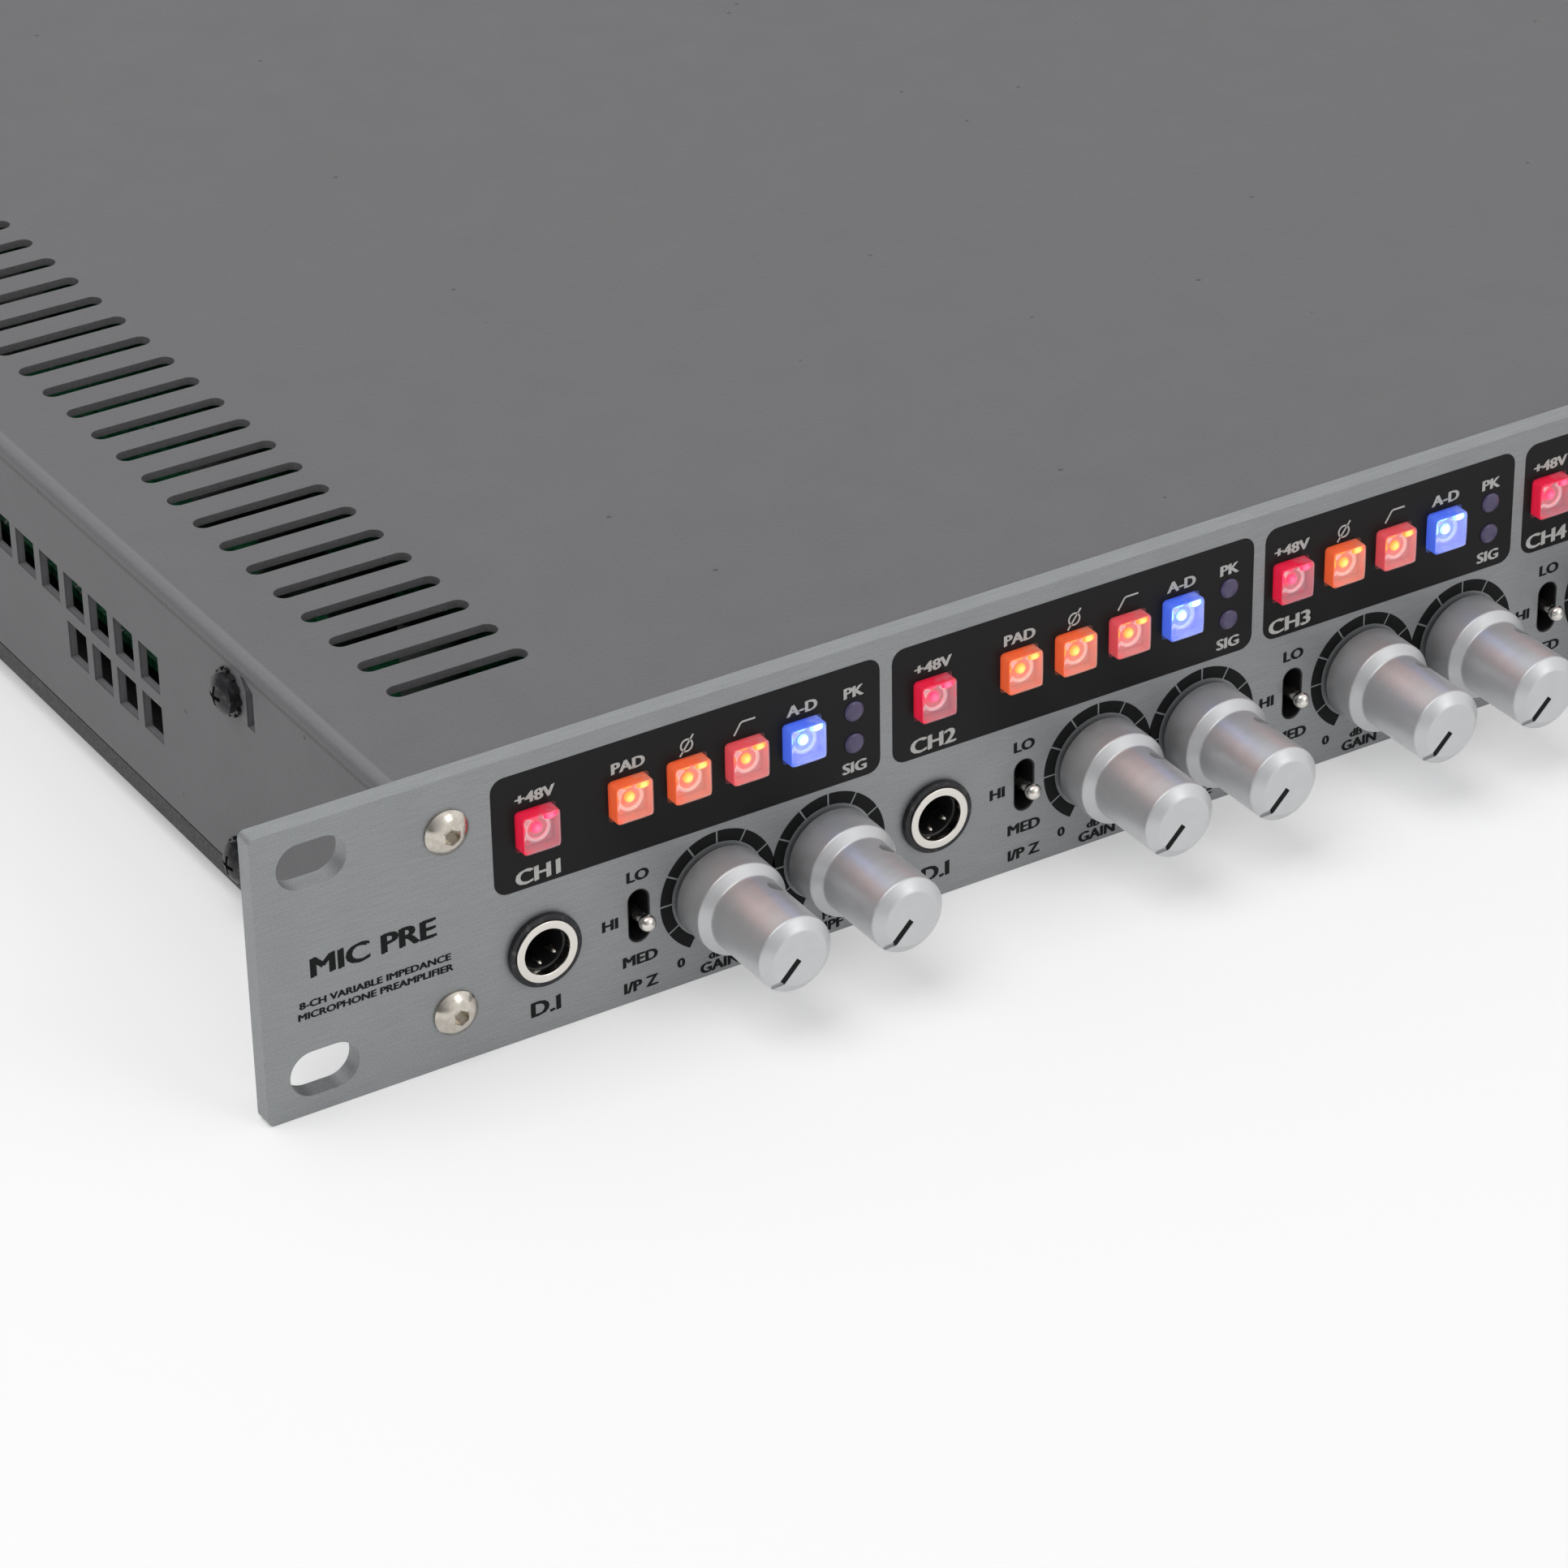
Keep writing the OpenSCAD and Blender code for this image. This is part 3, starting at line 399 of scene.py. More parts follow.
class Recipe:
    """A material with one Principled shader, and short ways to feed its sockets."""

    def __init__(self, name, colour, roughness, metallic=0.0, **sockets):
        self.material = bpy.data.materials.new(name)
        self.material.use_nodes = True
        self.tree = self.material.node_tree
        self.shader = self.tree.nodes["Principled BSDF"]
        self.shader.inputs["Base Color"].default_value = (*colour, 1)
        self.shader.inputs["Roughness"].default_value = roughness
        self.shader.inputs["Metallic"].default_value = metallic
        for words, value in sockets.items():
            self.shader.inputs[words.replace("_", " ")].default_value = value

    def node(self, kind, inputs=(), **settings):
        """Adds a node; inputs are pairs of a socket's name or number and a value or another socket."""
        made = self.tree.nodes.new(kind)
        for key, value in settings.items():
            setattr(made, key, value)
        for key, value in inputs:
            if isinstance(value, bpy.types.NodeSocket):
                self.tree.links.new(value, made.inputs[key])
            else:
                made.inputs[key].default_value = value
        return made

    def place(self, stretch=(1, 1, 1), centre=(0, 0, 0), source="Object"):
        """Coordinates in millimetres, moved to a centre and then stretched."""
        start = self.node("ShaderNodeTexCoord").outputs[source]
        moved = self.node("ShaderNodeVectorMath", [(0, start), (1, [c * MM for c in centre])],
                          operation="SUBTRACT")
        scale = [s / (MM if source == "Object" else 0.1) for s in stretch]
        return self.node("ShaderNodeVectorMath", [(0, moved.outputs[0]), (1, scale)],
                         operation="MULTIPLY").outputs[0]

    def apart(self, **where):
        """The X, the Y and the Z of the coordinates, each on its own."""
        return self.node("ShaderNodeSeparateXYZ", [(0, self.place(**where))]).outputs

    def noise(self, grain, detail=2.0, **where):
        """Noise whose grains are that many millimetres across, from 0 to 1."""
        return self.node("ShaderNodeTexNoise", [("Vector", self.place(**where)),
                                                ("Scale", 1 / grain),
                                                ("Detail", detail)]).outputs[0]

    def cells(self, grain, feature="F1", **where):
        """The distance from the middle of the nearest cell, in cells."""
        return self.node("ShaderNodeTexVoronoi", [("Vector", self.place(**where)),
                                                  ("Scale", 1 / grain)],
                         feature=feature).outputs["Distance"]

    def rescale(self, source, low, high, new_low=0.0, new_high=1.0):
        """Maps a range onto another one, and holds it there."""
        return self.node("ShaderNodeMapRange", [(0, source), (1, low), (2, high), (3, new_low),
                                                (4, new_high)]).outputs[0]

    def sum(self, one, other, operation="ADD"):
        """A Math node on two values."""
        return self.node("ShaderNodeMath", [(0, one), (1, other)], operation=operation).outputs[0]

    def tint(self, factor, low, high):
        """Mixes two colours, either of which may come from another node."""
        sockets = [(key, value if isinstance(value, bpy.types.NodeSocket) else (*value, 1))
                   for key, value in ((6, low), (7, high))]
        return self.node("ShaderNodeMix", [(0, factor), *sockets], data_type="RGBA").outputs[2]

    def feed(self, socket, source):
        """Links a source to one of the shader's sockets."""
        self.tree.links.new(source, self.shader.inputs[socket])
        return self

    def wander(self, source, low, high):
        """Lets the roughness run from low to high over the middle of a noise."""
        return self.feed("Roughness", self.rescale(source, 0.3, 0.7, low, high))

    def glow(self, source):
        """Feeds one colour to the surface and to its light."""
        return self.feed("Base Color", source).feed("Emission Color", source)

    def bump(self, source, height):
        """Raises the surface by up to that many millimetres."""
        made = self.node("ShaderNodeBump", [("Height", source), ("Distance", height * MM)])
        return self.feed("Normal", made.outputs[0])


def shades(colour, dark, light):
    """A darker and a lighter shade of a colour."""
    return [c * dark for c in colour], [c * light for c in colour]


def anodised_panel(name):
    """Bead blasted and anodised aluminium: a fine speckle and a faint grain along the panel."""
    colour = bpy.context.scene.preamp_colours.panel
    recipe = Recipe(name, colour, 0.46, 0.55, Specular_IOR_Level=0.4)
    speckle = recipe.noise(0.22, 3.0)
    grain = recipe.noise(0.3, 2.0, stretch=(0.06, 1, 1))
    both = recipe.sum(speckle, recipe.sum(grain, 0.45, "MULTIPLY"))
    recipe.feed("Base Color", recipe.tint(recipe.rescale(both, 0.45, 1.0), *shades(colour, 0.84, 1.16)))
    recipe.wander(recipe.noise(9.0), 0.42, 0.52)
    return recipe.bump(speckle, 0.012).material


def grey_paint(name):
    """Fine textured grey paint: packed grains, a soft mottle and a few specks.

    It has a painted highlight along the bends of the two sides, with a painted shade line just below each,
    and a painted shadow darkens it towards the front edge."""
    colour = bpy.context.scene.preamp_colours.cover
    recipe = Recipe(name, colour, 0.52, Specular_IOR_Level=0.45)
    grains = recipe.noise(0.4, 3.0)
    mottle = recipe.sum(recipe.noise(9.0, 3.0), 0.25, "MULTIPLY")
    base = recipe.tint(recipe.rescale(recipe.sum(grains, mottle), 0.35, 0.9), *shades(colour, 0.84, 1.16))
    specks = recipe.rescale(recipe.cells(11.0), 0.025, 0.04)
    base = recipe.tint(specks, [c * 0.45 for c in colour], base)
    half, _, top = box("top_cover")[1]
    apart = recipe.apart()
    side = recipe.sum(apart[0], 0.0, "ABSOLUTE")
    # Painted highlight: a pale band along the fold of each side.
    bend_highlight = recipe.sum(recipe.rescale(side, half - 1.9, half - 1.5),
                      recipe.rescale(side, half - 0.5, half - 0.1, 1.0, 0.0), "MULTIPLY")
    # Painted shade: a dark line just below each fold.
    crease = recipe.sum(recipe.rescale(apart[2], top - 2.9, top - 2.6),
                        recipe.rescale(apart[2], top - 2.2, top - 1.9, 1.0, 0.0), "MULTIPLY")
    front = box("top_cover")[0][1]
    # Painted shadow: darker towards the front edge, next to the panel.
    seam_shadow = recipe.rescale(apart[1], front + 0.2, front + 0.8, 0.75, 0.0)
    # The painted highlight, the painted shadow and the painted shade line are mixed into the colour.
    base = recipe.tint(recipe.sum(bend_highlight, 0.5, "MULTIPLY"), base, [c * 1.9 for c in colour])
    base = recipe.tint(seam_shadow, base, [c * 0.3 for c in colour])
    base = recipe.tint(recipe.sum(crease, 0.55, "MULTIPLY"), base, [c * 0.4 for c in colour])
    recipe.feed("Base Color", base)
    recipe.wander(grains, 0.44, 0.62)
    return recipe.bump(recipe.sum(grains, recipe.cells(0.55)), 0.03).material


def black_powder(name):
    """Matt black powder coat with a fine orange peel and a few lighter rubs."""
    colour = (0.017, 0.017, 0.019)
    recipe = Recipe(name, colour, 0.5)
    grains = recipe.noise(0.5, 2.0)
    rubs = recipe.rescale(recipe.noise(14.0, 5.0), 0.62, 0.74)
    recipe.feed("Base Color", recipe.tint(rubs, colour, (0.032, 0.032, 0.034)))
    recipe.wander(grains, 0.42, 0.6)
    return recipe.bump(grains, 0.03).material


def window_ink(name):
    """Glossy black print, nearly smooth, with faint wipe marks."""
    recipe = Recipe(name, (0.0095, 0.009, 0.0095), 0.36, Specular_IOR_Level=0.16)
    recipe.wander(recipe.noise(6.0, 4.0, stretch=(0.3, 1, 1)), 0.3, 0.45)
    return recipe.bump(recipe.noise(1.6), 0.004).material


def ink(name, colour):
    """Screen printed ink: a matt colour with slightly uneven cover."""
    recipe = Recipe(name, colour, 0.6, Specular_IOR_Level=0.15)
    recipe.feed("Base Color", recipe.tint(recipe.noise(0.35, 3.0), *shades(colour, 0.8, 1.1)))
    return recipe.bump(recipe.noise(0.2), 0.006).material


def white_ink(name):
    """The lettering in the windows and on the back."""
    return ink(name, (0.62, 0.62, 0.6))


def black_ink(name):
    """The lettering and the dials on the panel."""
    return ink(name, (0.007, 0.0075, 0.008))


def knob_aluminium(name):
    """Satin turned aluminium: fine marks run round the piece, because the map holds radius and depth."""
    colour = bpy.context.scene.preamp_colours.knob
    recipe = Recipe(name, colour, 0.42, 0.68, Specular_IOR_Level=0.4)
    marks = recipe.noise(0.16, 4.0, source="UV")
    cloud = recipe.noise(2.5, 3.0)
    recipe.feed("Base Color", recipe.tint(recipe.sum(marks, cloud, "MULTIPLY"), *shades(colour, 0.9, 1.08)))
    recipe.wander(marks, 0.37, 0.5)
    return recipe.bump(marks, 0.006).material


def bright_nickel(name):
    """Plated metal with soft polishing marks."""
    recipe = Recipe(name, (0.76, 0.73, 0.68), 0.2, 1.0)
    recipe.wander(recipe.noise(1.2, 4.0), 0.13, 0.3)
    return recipe.bump(recipe.noise(0.5), 0.004).material


def stainless(name):
    """Stainless steel of a screw head, its colour blotched darker and lighter as painted reflections."""
    recipe = Recipe(name, (0.6, 0.56, 0.5), 0.2, 1.0)
    # Painted reflections: the colour runs between a dark and a light tone in blotches.
    wear_and_reflection = recipe.noise(0.9, 4.0)
    recipe.feed("Base Color", recipe.tint(wear_and_reflection, (0.4, 0.36, 0.3), (0.74, 0.7, 0.64)))
    recipe.wander(wear_and_reflection, 0.12, 0.26)
    return recipe.bump(recipe.noise(0.3), 0.004).material


def tinned_steel(name):
    """Bright tin plate with a soft spangle."""
    recipe = Recipe(name, (0.66, 0.66, 0.66), 0.3, 1.0)
    spangle = recipe.cells(3.0)
    recipe.feed("Base Color", recipe.tint(spangle, (0.56, 0.56, 0.57), (0.74, 0.74, 0.73)))
    recipe.feed("Roughness", recipe.rescale(spangle, 0, 0.8, 0.24, 0.38))
    return recipe.bump(recipe.noise(0.6), 0.005).material


def gold_plate(name):
    """Thin gold over nickel, as on contacts."""
    recipe = Recipe(name, (0.8, 0.56, 0.24), 0.24, 1.0)
    recipe.wander(recipe.noise(0.8, 3.0), 0.18, 0.34)
    return recipe.material


def black_oxide(name):
    """Blackened steel: dark, slightly blue, and worn lighter in places."""
    recipe = Recipe(name, (0.035, 0.035, 0.038), 0.36, 0.6)
    wear_and_reflection = recipe.rescale(recipe.noise(1.1, 4.0), 0.55, 0.75)
    recipe.feed("Base Color", recipe.tint(wear_and_reflection, (0.03, 0.03, 0.033), (0.09, 0.088, 0.085)))
    recipe.wander(recipe.noise(0.4), 0.28, 0.5)
    return recipe.bump(recipe.noise(0.35), 0.006).material


def black_plastic(name):
    """Moulded black plastic with fine spark texture."""
    recipe = Recipe(name, (0.014, 0.014, 0.015), 0.42)
    texture = recipe.noise(0.22, 2.0)
    recipe.wander(texture, 0.36, 0.52)
    return recipe.bump(texture, 0.01).material


def dark_zinc(name):
    """Zinc shell of a connector, plated black."""
    recipe = Recipe(name, (0.03, 0.03, 0.032), 0.34, 0.35)
    recipe.wander(recipe.noise(1.5, 4.0), 0.26, 0.44)
    return recipe.bump(recipe.noise(0.3), 0.008).material


def circuit_board(name, node, axis):
    """Green solder mask over copper, with tracks and tinned pads, below its soldered parts.

    The parts stand on one side of the board, so they start at the board's thickness along that axis,
    and a coarse noise makes some black and some grey."""
    mask = (0.012, 0.115, 0.055)
    recipe = Recipe(name, mask, 0.28)
    tracks = recipe.node("ShaderNodeTexBrick", [
        ("Vector", recipe.place()), ("Scale", 0.16), ("Mortar Size", 0.045), ("Brick Width", 0.9),
        ("Row Height", 0.34)]).outputs["Fac"]
    bends = recipe.rescale(recipe.cells(5.0, "DISTANCE_TO_EDGE"), 0.05, 0.09)
    pads = recipe.rescale(recipe.cells(2.1), 0.2, 0.24)
    copper = recipe.tint(recipe.sum(tracks, recipe.sum(1.0, bends, "SUBTRACT"), "MAXIMUM"),
                         mask, (0.03, 0.22, 0.09))
    face = recipe.tint(pads, (0.55, 0.56, 0.53), copper)
    top = box(node)[0][axis] + BOARD_T
    apart = recipe.apart()
    parts = recipe.rescale(apart[axis], top + 0.02, top + 0.06)
    tone = recipe.rescale(recipe.noise(19.0, 0.0), 0.44, 0.56)
    case = recipe.tint(tone, (0.015, 0.015, 0.017), (0.2, 0.21, 0.2))
    recipe.feed("Base Color", recipe.tint(parts, face, case))
    metal = recipe.sum(recipe.rescale(pads, 0, 1, 0.9, 0.0), recipe.sum(1.0, parts, "SUBTRACT"), "MULTIPLY")
    recipe.feed("Metallic", metal)
    recipe.wander(recipe.noise(3.0), 0.22, 0.42)
    return recipe.bump(tracks, 0.03).material


def transformer_wrap(name):
    """Overlapped amber tape wound round a ring core: bands that follow the angle about its middle."""
    centre = middle("mains_transformer")
    recipe = Recipe(name, (0.55, 0.36, 0.08), 0.35, Coat_Weight=0.3, Coat_Roughness=0.2)
    apart = recipe.apart(centre=centre)
    angle = recipe.sum(apart[1], apart[0], "ARCTAN2")
    turns = recipe.sum(angle, 40 / TURN, "MULTIPLY")
    band = recipe.sum(recipe.sum(turns, recipe.sum(recipe.noise(12.0), 0.4, "MULTIPLY")), 1.0, "FRACT")
    recipe.feed("Base Color", recipe.tint(band, (0.36, 0.2, 0.035), (0.66, 0.45, 0.11)))
    return recipe.bump(band, 0.15).material


def lens(name, colour):
    """Clear moulded plastic, tinted by its lamp, with slight flow marks."""
    recipe = Recipe(name, colour, 0.05, Transmission_Weight=1.0, IOR=1.42)
    recipe.wander(recipe.noise(2.2, 3.0), 0.02, 0.1)
    return recipe.bump(recipe.noise(1.3), 0.015).material


def lit_plastic(name, deep, pale, strength):
    """The lit plastic in a button, lit by its lamp: painted light makes it deep at its left and upper rim,
    and pale elsewhere.

    The map holds X and Z from the button's middle, in millimetres once it is scaled."""
    recipe = Recipe(name, deep, 0.3, Emission_Strength=strength)
    apart = recipe.apart(source="UV")
    # Painted light: the glow deepens towards the left and the top and at the left and upper rim, with a
    # random ripple.
    painted_glow_slope = recipe.sum(recipe.sum(apart[1], 0.45, "MULTIPLY"), apart[0], "SUBTRACT")
    wide = recipe.sum(recipe.sum(apart[0], -1.0, "MULTIPLY"), apart[1], "MAXIMUM")
    rim = recipe.rescale(wide, 1.9, 2.5, 0.0, 0.6)
    ripple = recipe.sum(recipe.sum(recipe.noise(1.1, 3.0), 0.5, "SUBTRACT"), 1.5, "MULTIPLY")
    share = recipe.sum(recipe.sum(recipe.rescale(painted_glow_slope, -0.6, 3.6), rim), ripple)
    glow = recipe.tint(recipe.rescale(share, 0.0, 1.0), pale, deep)
    recipe.glow(glow)
    return recipe.bump(recipe.noise(0.7), 0.06).material


def lamp(name, rim, bright, strength):
    """A lit lamp: bright in its middle, with a deeper rim."""
    recipe = Recipe(name, rim, 0.3, Emission_Strength=strength)
    apart = recipe.apart(source="UV")
    reach = recipe.sum(recipe.sum(apart[0], 2.0, "POWER"), recipe.sum(apart[1], 2.0, "POWER"))
    ripple = recipe.sum(reach, recipe.sum(recipe.noise(0.5, 3.0), 0.3, "MULTIPLY"))
    glow = recipe.tint(recipe.rescale(ripple, 0.1, 0.75), bright, rim)
    recipe.glow(glow)
    return recipe.bump(recipe.noise(0.4), 0.02).material


def lens_ring(name, colour):
    """The pale moulded ring round a lamp."""
    recipe = Recipe(name, colour, 0.1, Coat_Weight=0.6, Emission_Strength=0.5)
    tone = recipe.tint(recipe.noise(0.7, 3.0), *shades(colour, 0.72, 1.1))
    recipe.glow(tone)
    return recipe.bump(recipe.noise(0.5), 0.03).material


def violet_lens(name):
    """The unlit lens of an indicator: milky violet plastic."""
    recipe = Recipe(name, (0.09, 0.062, 0.19), 0.3, Subsurface_Weight=0.3, Coat_Weight=0.3)
    recipe.shader.inputs["Subsurface Radius"].default_value = (0.0006, 0.0005, 0.001)
    recipe.feed("Base Color", recipe.tint(recipe.noise(0.7, 3.0), (0.05, 0.035, 0.1),
                                          (0.105, 0.076, 0.19)))
    return recipe.bump(recipe.noise(0.4), 0.01).material


def pot_body(name):
    """Stamped can of a potentiometer: dull zinc with a green cast."""
    recipe = Recipe(name, (0.3, 0.33, 0.3), 0.42, 0.8)
    recipe.feed("Base Color", recipe.tint(recipe.noise(1.5, 4.0), (0.2, 0.23, 0.2), (0.4, 0.43, 0.39)))
    return recipe.bump(recipe.noise(0.5), 0.01).material


# For each lens colour: the clear plastic, its deep and its pale lit shade, and the lamp's two shades.
LIGHTS = {
    "red": ((1.0, 0.93, 0.94), (0.78, 0.02, 0.07), (0.42, 0.2, 0.23), (0.9, 0.02, 0.09), (1.0, 0.1, 0.2)),
    "orange": ((1.0, 0.96, 0.94), (0.85, 0.15, 0.05), (0.58, 0.27, 0.22), (1.0, 0.22, 0.03),
               (1.0, 0.52, 0.13)),
    "coral": ((1.0, 0.95, 0.95), (0.75, 0.1, 0.12), (0.56, 0.25, 0.25), (1.0, 0.22, 0.03),
              (1.0, 0.5, 0.12)),
    "blue": ((0.96, 0.98, 1.0), (0.1, 0.2, 0.9), (0.36, 0.4, 0.82), (0.3, 0.62, 1.0),
             (0.85, 0.97, 1.0)),
}

FINISHES = {
    "anodised_panel": anodised_panel, "grey_paint": grey_paint, "black_powder": black_powder,
    "window_ink": window_ink, "white_ink": white_ink, "black_ink": black_ink,
    "knob_aluminium": knob_aluminium, "bright_nickel": bright_nickel, "stainless": stainless,
    "tinned_steel": tinned_steel, "gold_plate": gold_plate, "black_oxide": black_oxide,
    "black_plastic": black_plastic, "dark_zinc": dark_zinc, "transformer_wrap": transformer_wrap,
    "violet_lens": violet_lens, "pot_body": pot_body,
    "main_board": lambda name: circuit_board(name, "main_board", 2),
    "power_supply": lambda name: circuit_board(name, "power_supply", 2),
    "control_board": lambda name: circuit_board(name, "control_board", 1),
}
for _colour, (_clear, _deep, _pale, _rim, _bright) in LIGHTS.items():
    FINISHES[f"{_colour}_lens"] = lambda name, c=_clear: lens(name, c)
    FINISHES[f"{_colour}_body"] = lambda name, d=_deep, p=_pale: lit_plastic(name, d, p, 0.42)
    FINISHES[f"{_colour}_lamp"] = lambda name, r=_rim, b=_bright: lamp(name, r, b, 1.6)
    FINISHES[f"{_colour}_ring"] = lambda name, p=_pale: lens_ring(name, [0.4 + 0.6 * c for c in p])


def finish(name):
    """The finish of that name, made the first time that it is asked for."""
    label = f"{name}_finish"
    return bpy.data.materials.get(label) or FINISHES[name](label)


# ---------------------------------------------------------------- settings

def length(label, description, value):
    """A length in a settings group, given in millimetres."""
    return FloatProperty(name=label, description=description, default=value * MM, min=0,
                         unit="LENGTH", precision=5)


class PrintSizes(bpy.types.PropertyGroup):
    """Sizes of what is printed on the panel and of what shows through it."""

    window_low: length("Window foot", "Height of the windows' lower edge above the panel's middle", 1.44)
    window_top: length("Window top", "Height of the windows' upper edge above the panel's middle", 19.24)
    window_corner: length("Window corner", "Corner radius of the windows", 2.0)
    window_margin: length("Margin", "From a plain window's left edge to its first button", 4.6)
    window_margin_wide: length("Wide margin", "The same in a window with a pad button", 6.6)
    window_past_knob: length("Past the knob", "From the second knob to the window's right edge", 8.45)
    clock_window: length("Clock window", "Width of the window at the right end", 10.4)
    hole: length("Button hole", "Side of the hole round a button", 6.3)
    dial_inner: length("Dial inside", "Inner radius of the dials", 7.3)
    dial_outer: length("Dial outside", "Outer radius of the dials", 9.1)
    dial_tick: length("Dial tick", "Width of the ticks between the dial's segments", 0.28)
    letter: length("Letters", "Height of the capitals", 1.72)
    title: length("Title letters", "Height of the capitals in the channels' names", 2.35)
    small: length("Small letters", "Height of the capitals in the two lines at the left", 1.05)
    lamp_inset: length("Lamp inset", "From the window's right edge to its lamps", 4.2)
    lamp_pitch: length("Lamp pitch", "Distance between a channel's two lamps", 5.0)
    rate_pitch: length("Rate lamp pitch", "Distance between the lamps at the right end", 4.0)
    lamp_holder: length("Lamp holder", "Radius of a lamp's holder behind the panel", 2.1)


class KnobSizes(bpy.types.PropertyGroup):
    """Sizes of the turned knobs."""

    skirt: length("Skirt", "Length of the wide end beside the panel", 5.5)
    cone: length("Chamfer", "Length of each chamfer", 1.3)
    barrel: length("Barrel", "Radius of the barrel", 5.66)
    face: length("Face", "Radius of the flat end", 4.1)
    edge: length("Edge", "How far the edges are rounded", 0.22)
    groove: length("Pointer", "Width of the pointer's groove", 0.95)
    shaft: length("Shaft", "Radius of the shaft", 3.0)


class Colours(bpy.types.PropertyGroup):
    """Colours of the large surfaces."""

    panel: FloatVectorProperty(name="Panel", description="Anodised front panel", subtype="COLOR",
                               default=(0.315, 0.327, 0.335), min=0, max=1)
    cover: FloatVectorProperty(name="Cover", description="Textured paint of the top cover",
                               subtype="COLOR", default=(0.145, 0.143, 0.15), min=0, max=1)
    knob: FloatVectorProperty(name="Knobs", description="Turned aluminium", subtype="COLOR",
                              default=(0.66, 0.67, 0.68), min=0, max=1)


class Studio(bpy.types.PropertyGroup):
    """The camera, the lamps and the floor."""

    place: FloatVectorProperty(name="Camera place", description="Where the camera stands",
                               default=(-0.50262, -0.55900, 0.39460), unit="LENGTH", precision=5)
    turn: FloatVectorProperty(name="Camera turn", description="Which way the camera looks",
                              default=[math.radians(a) for a in (59.20432, 0.88127, -31.93782)],
                              subtype="EULER", unit="ROTATION")
    lens: FloatProperty(name="Lens", description="Focal length on a 36 mm wide picture, in mm",
                        default=129.604, min=10)
    sky: FloatProperty(name="Sky", description="Level of the light from all round", default=0.5, min=0)
    key: FloatProperty(name="Key lamp", description="Power of the large lamp", default=9.0, min=0,
                       unit="POWER")
    fill: FloatProperty(name="Fill lamp", description="Power of the lamp in front", default=3.0, min=0,
                        unit="POWER")


# ---------------------------------------------------------------- operators

